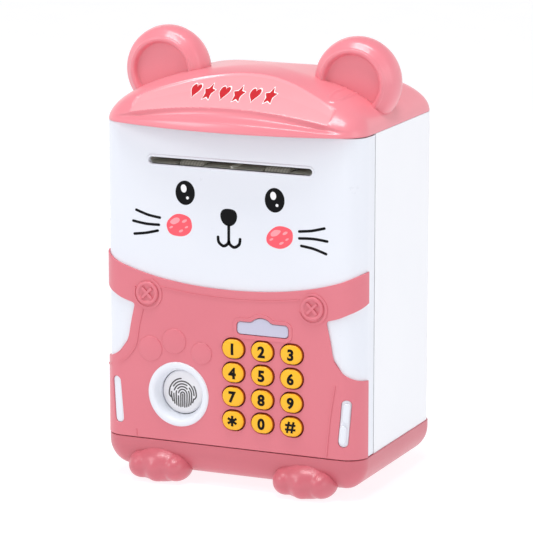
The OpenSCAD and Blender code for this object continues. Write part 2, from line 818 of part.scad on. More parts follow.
base_tray();
rear_shell();
cap_shell();
ear(-1);  // ear_left
ear(1);  // ear_right
ear_back(-1);  // ear_back_left
ear_back(1);  // ear_back_right
ear_screws();
paw(-1);  // paw_left
paw(1);  // paw_right
rear_pads();
case_screws();
hinge_pins();
latch_strike();
door_shell();
door_back();
belly_panel();
strap_button(-1);  // strap_button_left
strap_button(1);  // strap_button_right
finger_bowl();
window_lens();
keypad_mat();
main_board();
status_led();
speaker();
feed_frame();
feed_motor();
battery_box();
batteries();
battery_contacts();
solenoid();
door_screws();
feed_shaft();
tyres(upper_z);  // feed_tyres
feed_gear();
sync_gear(upper_z, -90);  // sync_gear_upper
idler_shaft();
tyres(lower_z);  // idler_tyres
sync_gear(lower_z, 90 + 180 / sync_teeth);  // sync_gear_lower
motor_shaft();
motor_pinion();
latch_bolt();
battery_cover();
finger_pad();
for (k = [0 : 11]) key(k);
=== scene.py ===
# %% [markdown]
# # A savings bank with a mouse face
# A toy bank moulded in pink and white plastic: a tray, a case, a domed cap with two ears, and a door that
# carries the face, a keypad and a finger bowl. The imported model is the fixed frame. It holds every size,
# so each step below asks it where its piece goes and then makes a finer piece there.

# %% Load the frame
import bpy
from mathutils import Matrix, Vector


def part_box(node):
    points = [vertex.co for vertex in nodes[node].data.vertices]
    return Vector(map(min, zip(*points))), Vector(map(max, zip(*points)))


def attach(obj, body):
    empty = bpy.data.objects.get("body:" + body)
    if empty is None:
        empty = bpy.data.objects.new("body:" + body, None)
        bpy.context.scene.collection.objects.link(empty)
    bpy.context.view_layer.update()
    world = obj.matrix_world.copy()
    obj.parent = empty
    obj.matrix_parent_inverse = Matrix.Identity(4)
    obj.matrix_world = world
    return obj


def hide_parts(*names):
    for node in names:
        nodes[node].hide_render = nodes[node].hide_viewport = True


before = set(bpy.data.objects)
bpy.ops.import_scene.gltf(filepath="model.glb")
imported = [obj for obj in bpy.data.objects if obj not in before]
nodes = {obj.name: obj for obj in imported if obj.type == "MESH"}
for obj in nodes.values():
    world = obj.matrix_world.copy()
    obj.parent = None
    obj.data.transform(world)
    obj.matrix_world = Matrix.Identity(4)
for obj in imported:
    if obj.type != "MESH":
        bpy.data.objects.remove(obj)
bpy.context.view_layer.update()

# %% [markdown]
# ## Working in millimetres
# A moulded toy is drawn in millimetres, and Blender works in metres. The helpers here take millimetres and
# change them once, where the mesh is made. `corners` reads a node's box from the frame.

# %% Units and places
import math

import bmesh
import bpy
import numpy as np
from mathutils import Matrix, Vector
from mathutils.bvhtree import BVHTree

MM = 0.001


def corners(node):
    low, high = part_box(node)
    return low / MM, high / MM


case_low, case_high = corners("rear_shell")
door_low = corners("door_shell")[0]
panel_low = corners("belly_panel")[0]
cap_low, cap_high = corners("cap_shell")
tray_low, tray_high = corners("base_tray")

half_w = case_high.x                 # half the width across the side walls
y_face = door_low.y                  # front of the plain door
y_panel = panel_low.y                # front of the panel laid over the door
y_back = case_high.y
z_seam = case_low.z                  # where the tray meets the case
z_cap = case_high.z                  # where the case meets the cap
corner_r = 10                        # radius of the upright corners
panel_t = y_face - y_panel
print("face at", round(y_face, 2), "seams at", round(z_seam, 2), round(z_cap, 2))

# %% [markdown]
# ## Mesh tools
# Most moulded shapes are a stack of rings: an outline that is drawn in a little more at each step gives a
# rounded edge. `skin` joins such rings with quads, and `solid` turns points and faces into an object with
# clean normals. `finish_mesh` bakes any modifiers, so that what is kept is a plain mesh.


# %% Rings, solids and finishing
def linked(name, data):
    obj = bpy.data.objects.new(name, data)
    bpy.context.scene.collection.objects.link(obj)
    return obj


def solid(name, points, faces, *materials):
    mesh = bpy.data.meshes.new(name)
    mesh.from_pydata([(p[0] * MM, p[1] * MM, p[2] * MM) for p in points], [], faces)
    for material in materials:
        mesh.materials.append(material)
    clean(mesh)
    return linked(name, mesh)


def clean(mesh, near=0.002):
    work = bmesh.new()
    work.from_mesh(mesh)
    bmesh.ops.remove_doubles(work, verts=work.verts, dist=near * MM)
    bmesh.ops.dissolve_degenerate(work, edges=work.edges, dist=near * MM)
    bmesh.ops.recalc_face_normals(work, faces=work.faces)
    work.to_mesh(mesh)
    work.free()
    mesh.update()


def skin(rings, first_cap=True, last_cap=True, loop=False):
    """Points and faces of a stack of closed rings, all with the same number of points."""
    count = len(rings[0])
    points = [p for ring in rings for p in ring]
    faces = []
    pairs = [(k, k + 1) for k in range(len(rings) - 1)]
    if loop:
        pairs.append((len(rings) - 1, 0))
    for a, b in pairs:
        for i in range(count):
            j = (i + 1) % count
            faces.append((a * count + i, a * count + j, b * count + j, b * count + i))
    if not loop and first_cap:
        faces.append(tuple(reversed(range(count))))
    if not loop and last_cap:
        faces.append(tuple((len(rings) - 1) * count + i for i in range(count)))
    return points, faces


def evaluated(obj):
    """A plain mesh of an object as it looks with its modifiers."""
    bpy.context.view_layer.update()
    graph = bpy.context.evaluated_depsgraph_get()
    return bpy.data.meshes.new_from_object(obj.evaluated_get(graph), depsgraph=graph)


def finish_mesh(obj):
    mesh, old = evaluated(obj), obj.data
    obj.modifiers.clear()
    obj.data = mesh
    mesh.name = obj.name
    if isinstance(old, bpy.types.Mesh):
        bpy.data.meshes.remove(old)
    return obj


def smooth(obj, angle=32, weighted=True):
    """Smooth shading that keeps moulded edges crisp and flat faces flat."""
    obj.data.shade_smooth()
    obj.data.set_sharp_from_angle(angle=math.radians(angle))
    if weighted:
        modifier = obj.modifiers.new("even_normals", "WEIGHTED_NORMAL")
        modifier.keep_sharp = True
        finish_mesh(obj)
    return obj


def cut(obj, *tools, operation="DIFFERENCE"):
    for tool in tools:
        modifier = obj.modifiers.new("cut", "BOOLEAN")
        modifier.operation = operation
        modifier.solver = "EXACT"
        modifier.object = tool
        finish_mesh(obj)
        bpy.data.objects.remove(tool)
    return obj


def place(obj, body, slot, *replaced):
    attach(obj, body)
    if replaced:
        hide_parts(*replaced)
    print(obj.name, "rides on", body, "with", len(obj.data.polygons), "faces")
    return obj


# %% [markdown]
# ## Outlines
# Plans and fronts are drawn as short lists of points in which every round stretch is an arc.


# %% Arcs, ovals and round plans
def arc(x, y, r, start, end, steps):
    angles = [math.radians(start + (end - start) * k / steps) for k in range(steps + 1)]
    return [(x + r * math.cos(a), y + r * math.sin(a)) for a in angles]


def oval(x, y, w, h, steps=12):
    """A flat oval with round ends, counter-clockwise."""
    d = (w - h) / 2
    return arc(x + d, y, h / 2, -90, 90, steps) + arc(x - d, y, h / 2, 90, 270, steps)


def circle(x, y, r, steps):
    return [(x + r * math.cos(a), y + r * math.sin(a)) for a in (2 * math.pi * k / steps for k in range(steps))]


def round_plan(hw, y0, y1, r, steps):
    """A rectangle with round corners, counter-clockwise from the front right."""
    return (arc(hw - r, y0 + r, r, -90, 0, steps) + arc(hw - r, y1 - r, r, 0, 90, steps)
            + arc(-hw + r, y1 - r, r, 90, 180, steps) + arc(-hw + r, y0 + r, r, 180, 270, steps))


def turned(profile, centre, steps, loop=False):
    """Points and faces of a (radius, depth) profile turned about an axis along Y through centre."""
    cx, cy, cz = centre
    return skin([[(x, cy + d, z) for x, z in circle(cx, cz, r, steps)] for r, d in profile], loop=loop)


def lathe(name, profile, centre, steps, material, loop=False):
    """A turned piece with smooth shading."""
    return smooth(solid(name, *turned(profile, centre, steps, loop), material), 50, weighted=False)


def fillet(corner, before, after, r, steps=4):
    """Points that round a corner of a profile, from the side of `before` to the side of `after`."""
    c, a, b = Vector(corner), Vector(before), Vector(after)
    start = c + (a - c).normalized() * r
    end = c + (b - c).normalized() * r
    return [tuple((1 - t) ** 2 * start + 2 * t * (1 - t) * c + t ** 2 * end)
            for t in (k / steps for k in range(steps + 1))]


def rounded(points, radii, steps=4, closed=False):
    """A polyline whose inner corners are rounded. radii is one number or one for each point."""
    if not isinstance(radii, (list, tuple)):
        radii = [radii] * len(points)
    made = []
    last = len(points) - 1
    for k, p in enumerate(points):
        if (not closed and k in (0, last)) or radii[k] == 0:
            made.append(tuple(p))
            continue
        made += fillet(p, points[k - 1], points[(k + 1) % len(points)], radii[k], steps)
    return made


# %% [markdown]
# ## Shared shader groups
# Injection-moulded plastic has three things in common on every piece: a fine grain from the mould, a gloss
# that is not quite even, and a tone that drifts a little across a wall. Each is a node group built once,
# with named inputs, and every material sets its own values.


# %% Group tools
def group(name, inputs, outputs):
    tree = bpy.data.node_groups.new(name, "ShaderNodeTree")
    for label, kind, value in inputs:
        socket = tree.interface.new_socket(label, in_out="INPUT", socket_type=kind)
        socket.default_value = value
    for label, kind in outputs:
        tree.interface.new_socket(label, in_out="OUTPUT", socket_type=kind)
    start = tree.nodes.new("NodeGroupInput")
    end = tree.nodes.new("NodeGroupOutput")
    return tree, start, end


def plug(tree, socket, value):
    """Gives a socket a value, or links another node's output to it."""
    if isinstance(value, bpy.types.NodeSocket):
        tree.links.new(value, socket)
    else:
        socket.default_value = value


def fill(tree, node, **values):
    """Plugs a node's inputs, named with _ for a space, and returns the node."""
    for label, value in values.items():
        plug(tree, node.inputs[label.replace("_", " ")], value)
    return node


def math_node(tree, operation, *values):
    node = tree.nodes.new("ShaderNodeMath")
    node.operation = operation
    for socket, value in zip(node.inputs, values):
        plug(tree, socket, value)
    return node.outputs[0]


def mix_node(tree, factor, a, b):
    node = tree.nodes.new("ShaderNodeMix")
    node.data_type = "RGBA"
    return fill(tree, node, Factor=factor, A=a, B=b).outputs["Result"]


def noise_node(tree, scale, detail=2.0, rough=0.5):
    """Noise on object coordinates. Scale is a number, or a socket that gives repeats in a metre."""
    where = tree.nodes.new("ShaderNodeTexCoord")
    node = tree.nodes.new("ShaderNodeTexNoise")
    return fill(tree, node, Vector=where.outputs["Object"], Detail=detail, Roughness=rough,
                Scale=scale).outputs["Fac"]


# %% Mould grain: the fine texture that the steel mould leaves
def build_grain():
    tree, start, end = group("mould_grain",
                             [("Grain size mm", "NodeSocketFloat", 0.35), ("Ripple", "NodeSocketFloat", 0.25)],
                             [("Height", "NodeSocketFloat")])
    scale = math_node(tree, "DIVIDE", 1000.0, start.outputs["Grain size mm"])
    ripple = math_node(tree, "MULTIPLY", noise_node(tree, 70.0, 1.0), start.outputs["Ripple"])
    fill(tree, end, Height=math_node(tree, "ADD", noise_node(tree, scale, 3.0, 0.6), ripple))
    return tree


# %% Handled gloss: roughness that drifts, with a few smudges
def build_gloss():
    tree, start, end = group("handled_gloss",
                             [("Roughness", "NodeSocketFloat", 0.35), ("Spread", "NodeSocketFloat", 0.08)],
                             [("Roughness", "NodeSocketFloat")])
    both = math_node(tree, "MULTIPLY", noise_node(tree, 55.0, 3.0), noise_node(tree, 240.0, 4.0, 0.7))
    centred = math_node(tree, "SUBTRACT", both, 0.25)
    amount = math_node(tree, "MULTIPLY", centred, start.outputs["Spread"])
    scaled = math_node(tree, "MULTIPLY", amount, 2.5)
    fill(tree, end, Roughness=math_node(tree, "ADD", start.outputs["Roughness"], scaled))
    return tree


# %% Wall tone: a slow drift between two shades of one colour
def build_tone():
    tree, start, end = group("wall_tone",
                             [("Light", "NodeSocketColor", (1, 1, 1, 1)), ("Dark", "NodeSocketColor", (0, 0, 0, 1)),
                              ("Patch size mm", "NodeSocketFloat", 40.0)],
                             [("Color", "NodeSocketColor")])
    scale = math_node(tree, "DIVIDE", 1000.0, start.outputs["Patch size mm"])
    slow, speck = noise_node(tree, scale, 2.0), noise_node(tree, 900.0, 2.0)
    blend = math_node(tree, "ADD", math_node(tree, "MULTIPLY", slow, 0.8), math_node(tree, "MULTIPLY", speck, 0.2))
    fill(tree, end, Color=mix_node(tree, blend, start.outputs["Light"], start.outputs["Dark"]))
    return tree


grain_group, gloss_group, tone_group = build_grain(), build_gloss(), build_tone()
print("shader groups:", grain_group.name, gloss_group.name, tone_group.name)


# %% [markdown]
# ## Plastics, metals and inks
# `finish` makes one material from the three groups. Colours are written as they look on a screen, from 0 to
# 255, and turned into the linear values that the renderer wants. The second shade is a little deeper.


# %% The material maker
def linear(rgb):
    return tuple((c / 255 / 12.92) if c <= 10 else ((c / 255 + 0.055) / 1.055) ** 2.4 for c in rgb) + (1,)


def use_group(tree, shared, **values):
    node = tree.nodes.new("ShaderNodeGroup")
    node.node_tree = shared
    return fill(tree, node, **values).outputs[0]


def finish(name, light, dark, rough, grain=0.35, bump=0.05, spread=0.08, patch=40, metal=0.0, coat=0.0,
           sheen=0.0, glow=0.0, subsurface=0.0, pattern=None):
    """A material: two shades, a gloss and a grain. pattern(tree) may give a mask that darkens stripes or bands."""
    material = bpy.data.materials.new(name)
    material.use_nodes = True
    tree = material.node_tree
    colour = use_group(tree, tone_group, Light=linear(light), Dark=linear(dark), Patch_size_mm=patch)
    height = use_group(tree, grain_group, Grain_size_mm=grain)
    if pattern:
        mask, shade, depth = pattern(tree)
        colour = mix_node(tree, mask, colour, linear(shade))
        height = math_node(tree, "ADD", height, math_node(tree, "MULTIPLY", mask, depth))
    relief = fill(tree, tree.nodes.new("ShaderNodeBump"), Strength=bump, Distance=0.1 * MM, Height=height)
    shader = fill(tree, tree.nodes["Principled BSDF"], Base_Color=colour, Metallic=metal,
                  Roughness=use_group(tree, gloss_group, Roughness=rough, Spread=spread),
                  Normal=relief.outputs["Normal"], Coat_Weight=coat, Coat_Roughness=0.12, Sheen_Weight=sheen,
                  Subsurface_Weight=subsurface, Subsurface_Radius=(0.002, 0.001, 0.001))
    if glow:
        fill(tree, shader, Emission_Color=colour, Emission_Strength=glow)
    return material


# %% Patterns for the parts inside: turns of wire, board traces, battery bands
def bands(axis, pitch, share, shade, depth):
    """Stripes across an axis of the object, pitch mm apart."""
    def pattern(tree):
        where = tree.nodes.new("ShaderNodeTexCoord")
        split = fill(tree, tree.nodes.new("ShaderNodeSeparateXYZ"), Vector=where.outputs["Object"])
        turns = math_node(tree, "MULTIPLY", split.outputs[axis], 1000.0 / pitch)
        return math_node(tree, "LESS_THAN", math_node(tree, "FRACT", turns), share), shade, depth
    return pattern


def traces(pitch, shade):
    """A board's copper: lines that wander between pads."""
    def pattern(tree):
        where = tree.nodes.new("ShaderNodeTexCoord")
        cells = tree.nodes.new("ShaderNodeTexVoronoi")
        cells.feature = "DISTANCE_TO_EDGE"
        cells.distance = "MANHATTAN"
        fill(tree, cells, Scale=1000.0 / pitch, Vector=where.outputs["Object"])
        return math_node(tree, "LESS_THAN", cells.outputs["Distance"], 0.06), shade, 1.0
    return pattern


# %% All the finishes
pink = finish("pink_abs", (224, 124, 136), (216, 112, 126), 0.34, bump=0.06, coat=0.15)
# painted shade: the tray, its posts and the paws get a deeper copy of the pink plastic, for the shade low down
pink_shaded = finish("pink_abs_base", (208, 109, 121), (200, 100, 113), 0.34, bump=0.06, coat=0.12)
# painted light: the cap and the ears get a lighter copy of the pink plastic, for the light from above
pink_lit = finish("pink_abs_cap", (234, 138, 149), (227, 128, 141), 0.3, grain=0.9, bump=0.015, spread=0.04,
                  coat=0.25)
# painted highlight: a still lighter pink for the up-facing floor of the cap's crescent
pink_highlight = finish("pink_abs_inset", (249, 164, 172), (244, 156, 165), 0.24, grain=0.9, bump=0.01, spread=0.03,
                    coat=0.3)
# painted shade: the door's white is a little darker and bluer than the case's white, for the front getting less light
# than the side
white = finish("white_abs", (234, 237, 244), (226, 230, 240), 0.30, bump=0.04, coat=0.15)
white_case = finish("white_abs_case", (244, 245, 249), (238, 240, 246), 0.38, bump=0.07)
pad_white = finish("pad_white", (244, 243, 246), (234, 233, 238), 0.42, bump=0.05)
yellow = finish("key_yellow", (253, 192, 22), (246, 180, 12), 0.34, bump=0.05, spread=0.1)
# painted shade: a dark orange for the keys' upright sides
key_side = finish("key_side", (206, 104, 18), (180, 76, 12), 0.5, bump=0.04)
lens = finish("lens_lilac", (202, 200, 220), (190, 190, 214), 0.22, grain=0.6, bump=0.02, coat=0.3)
black_ink = finish("black_ink", (14, 14, 18), (8, 8, 10), 0.42, grain=0.2, bump=0.05)
coral_ink = finish("coral_ink", (255, 106, 118), (250, 92, 106), 0.5, grain=0.25, bump=0.05, patch=4)
blush_ink = finish("blush_ink", (255, 168, 176), (252, 150, 160), 0.5, grain=0.25, bump=0.05, patch=3)
white_ink = finish("white_ink", (252, 252, 253), (244, 244, 248), 0.4, grain=0.2, bump=0.04)
red_ink = finish("red_ink", (206, 44, 52), (186, 34, 44), 0.42, grain=0.2, bump=0.04)
for ink in (black_ink, coral_ink, red_ink):
    ink.node_tree.nodes["Principled BSDF"].inputs["Specular IOR Level"].default_value = 0.12
steel = finish("steel", (190, 192, 196), (160, 162, 168), 0.28, metal=1.0, grain=0.15, bump=0.08)
grey_rubber = finish("grey_rubber", (92, 88, 90), (72, 70, 72), 0.75, grain=0.5, bump=0.25, sheen=0.1)
# painted shade: the darker stripes sit in the tread's grooves
roller_rubber = finish("roller_rubber", (222, 218, 208), (204, 200, 190), 0.7, grain=0.4, bump=0.3,
                       pattern=bands(0, 1.5, 0.3, (186, 182, 174), -1.5))
gear_white = finish("gear_white", (238, 237, 230), (226, 224, 214), 0.45, subsurface=0.05)
board_green = finish("board_green", (28, 104, 62), (20, 84, 50), 0.4, pattern=traces(2.4, (60, 150, 96)))
led_red = finish("led_red", (220, 40, 44), (190, 24, 30), 0.15, bump=0.01, coat=0.5, glow=0.15)
speaker_black = finish("speaker_black", (46, 46, 50), (30, 30, 34), 0.6, grain=0.7, bump=0.3)
battery_green = finish("battery_green", (48, 118, 74), (34, 96, 60), 0.3, coat=0.4,
                       pattern=bands(0, 25.0, 0.25, (206, 170, 60), 0.3))
# painted shade: the darker stripes sit in the grooves between turns of wire
coil_copper = finish("coil_copper", (196, 120, 62), (160, 86, 40), 0.35, metal=0.8,
                     pattern=bands(0, 0.5, 0.35, (110, 56, 28), -1.0))
print("finishes:", len(bpy.data.materials))

# %% [markdown]
# ## Parts that the frame already shapes well
# Shafts, gears, the feed frame, screws, the board and the batteries are simple turned or stamped parts, so
# the frame's own meshes stay. They only need the right finish.

# %% Finishes for the frame's own nodes
KEYS = ["key_%d" % k for k in range(1, 10)] + ["key_star", "key_0", "key_hash"]
kept = {
    pink: ["base_tray", "ear_back_left", "ear_back_right", "strap_button_left", "strap_button_right",
           "paw_left", "paw_right", "belly_panel"],
    pink_lit: ["cap_shell", "ear_left", "ear_right"],
    white: ["door_shell", "finger_bowl"],
    white_case: ["rear_shell", "door_back", "battery_box", "battery_cover"],
    pad_white: ["finger_pad"],
    yellow: KEYS,
    lens: ["window_lens"],
    steel: ["ear_screws", "case_screws", "hinge_pins", "latch_strike", "feed_motor", "battery_contacts",
            "door_screws", "feed_shaft", "idler_shaft", "motor_shaft", "latch_bolt"],
    grey_rubber: ["rear_pads", "keypad_mat"],
    roller_rubber: ["feed_tyres", "idler_tyres"],
    gear_white: ["feed_gear", "sync_gear_upper", "sync_gear_lower", "motor_pinion", "feed_frame"],
    board_green: ["main_board"],
    led_red: ["status_led"],
    speaker_black: ["speaker"],
    battery_green: ["batteries"],
    coil_copper: ["solenoid"],
}
for material, names in kept.items():
    for name in names:
        slots = nodes[name].data.materials
        slots.clear()
        slots.append(material)
missing = set(nodes) - {name for names in kept.values() for name in names}
print("nodes without a finish:", sorted(missing))

# %% [markdown]
# ## The cap
# The lid of the bank is one big moulding: a dome with a visor that bulges over the face, a shallow crescent
# sunk into its front and a hollow band under the crescent's lip. Its shape follows a rule, so it is a loft:
# one outline, repeated at 150 heights and drawn in a little more each time. The crescent is then pushed in
# along the surface, which a box with modifiers couldn't do without losing the sharp lip.

# %% The cap's outline, seen from above
cap_h = cap_high.z - z_cap
front_y = cap_low.y
visor_r = 181                         # radius of the visor's front arc
visor_corner_r = 14                   # radius of the visor's corners
cap_mid = -front_y                    # half the depth, as the cap is centred on the origin
wall = 2.2                            # thickness of every moulded wall
CAP_EDGE = 0.5                        # radius of the cap's bottom edge
SIDE_POWER, FRONT_POWER = 2.0, 1.7    # how square the dome is at its flanks and at its front


def cap_outline(front_steps=200):
    side_x = half_w - visor_corner_r
    centre_y = visor_r + front_y
    corner_y = centre_y - math.sqrt((visor_r - visor_corner_r) ** 2 - side_x ** 2)
    swing = math.degrees(math.atan2(side_x, centre_y - corner_y))
    left = arc(-half_w + corner_r, y_back - corner_r, corner_r, 90, 180, 10)
    left += [(-half_w, y_back - corner_r - k * 4.0) for k in range(1, 17)]
    left += arc(-side_x, corner_y, visor_corner_r, 180, 270 - swing, 22)
    front = arc(0, centre_y, visor_r, 270 - swing, 270 + swing, front_steps)[1:-1]
    right = [(-x, y) for x, y in reversed(left)]
    return left + front + right + [(x, y_back) for x in (45, 30, 15, 0, -15, -30, -45)]


def dome(share, power):
    return (1 - share ** power) ** (1 / power)


def cap_ring(outline, share, inset=0.0):
    """The cap's outline at a share of its height, drawn in by a wall's thickness."""
    side, front = dome(share, SIDE_POWER), dome(share, FRONT_POWER)
    kx = side * (half_w - inset) / half_w
    ky = (side + front) / 2 * (cap_mid - inset) / cap_mid
    shift = (cap_mid - inset) * (side - front) / 2
    z = z_cap + (cap_h - inset) * share
    return [(x * kx, y * ky + shift, z) for x, y in outline]


# %% The crescent and the band under its lip
CRESCENT_TOP, CRESCENT_END = 22.4, 49.5     # height of its top edge above the cap's seam, and half its width
LIP = 10.2                                  # height of its lower edge
BAND_LOW = 4.0                              # height of the bead under the hollow band
CRESCENT_SINK, LIP_PROUD = 0.9, 0.5
BAND_SINK = 1.7
BAND_END = 59                               # half the band's width
BADGE = (47.0, 16.5, 3.9)                   # a small raised ring: x, height above the seam and radius


def step(value, width):
    t = min(max(value / width + 0.5, 0.0), 1.0)
    return t * t * (3 - 2 * t)


def edge_heights(x):
    """The crescent's upper and lower edge, which bow downwards to the sides, and the bead under the band."""
    return CRESCENT_TOP - 0.0044 * x * x, LIP - 0.0021 * x * x, BAND_LOW - 0.0009 * x * x


def in_crescent(x, h):
    """1 inside the crescent, 0 outside, and a short ramp between."""
    top, lip, _ = edge_heights(x)
    return step(top - h, 0.6) * step(h - lip, 0.35) * step(CRESCENT_END - abs(x), 0.9)


def crescent_push(x, y, z):
    """How far the cap's front stands out, negative where it is sunk, at a point of the dome."""
    if y > 0:
        return 0.0
    h = z - z_cap
    top, lip, low = edge_heights(x)
    inside = in_crescent(x, h)
    slope = min(max((h - lip) / max(top - lip, 1.0), 0.0), 1.0)
    push = inside * (LIP_PROUD - (CRESCENT_SINK + LIP_PROUD) * min(slope * 1.6, 1.0))
    if low < h < lip + 0.3:
        share = min(max((h - low) / max(lip - low, 0.5), 0.0), 1.0)
        hollow = math.sin(math.pi * share ** 1.7) ** 0.8
        push -= BAND_SINK * hollow * (1 - step(h - lip + 0.2, 0.3)) * min(max((BAND_END - abs(x)) / 14, 0.0), 1.0)
    badge = math.hypot(x - BADGE[0], (h - BADGE[1]) * 1.6)
    push += 0.4 * step(BADGE[2] - badge, 0.5) * step(badge - BADGE[2] + 1.3, 0.5)
    return push


# %% Loft the cap
def grid_normals(rings):
    grid = np.array(rings)
    along = np.roll(grid, -1, axis=1) - np.roll(grid, 1, axis=1)
    up = np.gradient(grid, axis=0)
    normal = np.cross(up, along)
    length = np.linalg.norm(normal, axis=2, keepdims=True)
    return normal / np.maximum(length, 1e-9)


def quarter_turn(levels, last):
    """Shares of the height that are close together near the top, where the dome turns over."""
    return [math.sin(0.5 * math.pi * k / levels) for k in range(levels)] + [last]


def make_cap():
    outline = cap_outline()
    outer = [cap_ring(outline, s) for s in quarter_turn(150, 0.99996)]
    normal = grid_normals(outer)
    if normal[-2][0][2] < 0:
        normal = -normal
    pushed = []
    for ring, directions in zip(outer, normal):
        pushed.append([tuple(np.array(p) + d * crescent_push(*p)) for p, d in zip(ring, directions)])
    rim = [[(x, y, z_cap + CAP_EDGE * (1 - math.cos(math.radians(turn))))
            for x, y, z in cap_ring(outline, 0.0, CAP_EDGE * (1 - math.sin(math.radians(turn))))]
           for turn in (0, 30, 60)]
    inner = [cap_ring(outline, s, wall) for s in quarter_turn(14, 0.9999)]
    low = [pushed[k] for k in range(len(pushed)) if outer[k][0][2] > z_cap + CAP_EDGE]
    rings = list(reversed(inner)) + rim + low
    obj = solid("cap", *skin(rings), pink_lit, pink_highlight)
    # painted light and painted highlight: the cap is the lighter pink, and its up-facing crescent faces take the
    # still lighter pink
    for face in obj.data.polygons:
        x, y, z = face.center / MM
        if y < 0 and in_crescent(x, z - z_cap) > 0.6 and face.normal.z > 0:
            face.material_index = 1
    return smooth(obj, 40, weighted=False)


cap = make_cap()
cap_tree = BVHTree.FromObject(cap, bpy.context.evaluated_depsgraph_get())
place(cap, "case", "pink_shell", "cap_shell")

# %% [markdown]
# ## The ears
# An ear is a thick disc: a sunken face, a narrow lip that catches the light, a sloping band and a barrel
# side. That is a turned shape, so a profile is turned about an axis and the cap's own dome is cut away from
# it. The cover that closes its back is the frame's own part.


# %% Turn the ears and cut them to the dome
def dome_tool():
    outline = cap_outline(40)
    base = [(x, y, z_cap - 3) for x, y, _ in cap_ring(outline, 0.0)]
    rings = [base] + [cap_ring(outline, s) for s in quarter_turn(40, 0.9999)]
    return solid("dome_tool", *skin(rings), pink_lit)


def ear_profile(r, t):
    lip = r - 5.0
    front = [(0, 2.8), (lip - 3.1, 2.8), (lip - 2.6, 2.65), (lip - 2.3, 2.2), (lip - 2.0, 0.7), (lip - 1.6, 0.2),
             (lip - 1.0, 0.0), (lip - 0.3, 0.0), (lip + 0.2, 0.3), (lip + 0.45, 0.95), (lip + 0.7, 1.35),
             (r - 2.4, 2.6), (r - 1.4, 3.8), (r - 0.7, 5.5), (r - 0.2, 8.0), (r, 10.2)]
    back = [(r - 0.2, t - 6.2), (r - 0.9, t - 4.2), (r - 2.1, t - 2.3), (r - 3.6, t - 0.8), (r - 4.6, t - 0.1),
            (r - 4.95, t), (r - 5.02, t - 0.2), (r - 5.02, t - 2.1), (r - 5.6, t - 2.1), (0, t - 2.1)]
    return front + back


def make_ear(name, node):
    low, high = corners(node)
    r = (high.x - low.x) / 2
    centre = ((low.x + high.x) / 2, low.y, high.z - r)
    # painted light: the ears take the lighter copy of the pink
    obj = solid(name, *turned(ear_profile(r, high.y - low.y), centre, 128), pink_lit)
    cut(obj, dome_tool())
    smooth(obj, 50, weighted=False)
    return place(obj, "case", "pink_shell", node)


for side in ("left", "right"):
    make_ear(side + "_ear", "ear_" + side)

# %% [markdown]
# ## The tray
# The tray is the tub that everything stands on. Its underside turns up in a big radius all round, and its
# top edge is rounded just enough to leave a fine dark line under the door. It is a stack of rings again,
# outside and inside, with the four screw wells cut from below.

# %% Loft the tray
TRAY_TURN, TRAY_EDGE = 13, 0.35      # radius below and radius above
SCREW_IN, SCREW_DEPTH = 7.5, 9.6     # how far the screw wells are from the walls, and how deep


def tray_ring(inset, z, squeeze):
    """The tray's plan drawn in by inset, at a height; squeeze takes the corners in with it."""
    plan = round_plan(tray_high.x - inset, tray_low.y + inset, tray_high.y - inset,
                      max(corner_r + 0.6 - squeeze, 2.2), 12)
    return [(x, y, z) for x, y in plan]


def turned_up(radius, inset, rise, steps):
    """Rings of a bottom that turns up into a wall, from the floor to the wall."""
    made = []
    for k in range(steps + 1):
        a = math.radians(90 * k / steps)
        s = inset + radius * (1 - math.sin(a))
        made.append(tray_ring(s, tray_low.z + rise + radius * (1 - math.cos(a)), min(s, 8.0)))
    return made


def posts(radius, low, high):
    """Four upright cylinders where the tray's screws go."""
    made = []
    for x in (SCREW_IN - half_w, half_w - SCREW_IN):
        for y in (case_low.y + SCREW_IN + 3, y_back - SCREW_IN):
            rings = [[(px, py, z) for px, py in circle(x, y, radius, 32)] for z in (low, high)]
            made.append(solid("post", *skin(rings), pink_shaded))
    return made


def make_tray():
    outside = turned_up(TRAY_TURN, 0, 0, 18)
    for turn in (0, 30, 60, 90):
        a = math.radians(turn)
        outside.append(tray_ring(TRAY_EDGE * (1 - math.cos(a)), tray_high.z - TRAY_EDGE + TRAY_EDGE * math.sin(a), 0))
    inside = [tray_ring(wall, tray_high.z, wall)] + turned_up(TRAY_TURN - wall, wall, wall, 10)[::-1]
    # painted shade: the tray is made in the deeper copy of the pink
    obj = solid("tray", *skin(outside + inside), pink_shaded)
    tubes = []
    for tube in posts(4, tray_low.z - 1, tray_high.z - 0.4):
        tub = solid("tub", *skin([[(x, y, z + 0.02) for x, y, z in ring] for ring in outside]), pink_shaded)
        tubes.append(cut(tube, tub, operation="INTERSECT"))
    cut(obj, *tubes, operation="UNION")
    cut(obj, *posts(3, tray_low.z - 2, tray_low.z + SCREW_DEPTH))
    return smooth(obj, 40)


place(make_tray(), "case", "pink_shell", "base_tray")

# %% [markdown]
# ## Softening the moulded walls
# The case, the door and its back plate already have their right shapes, down to the screw bosses. What they
# lack is the small radius that every moulded edge has, which is what draws the fine bright and dark lines
# along the gap. A copy of the frame's mesh is merged, its flat faces are joined again, and a bevel
# modifier rounds every edge that is sharper than 35 degrees.


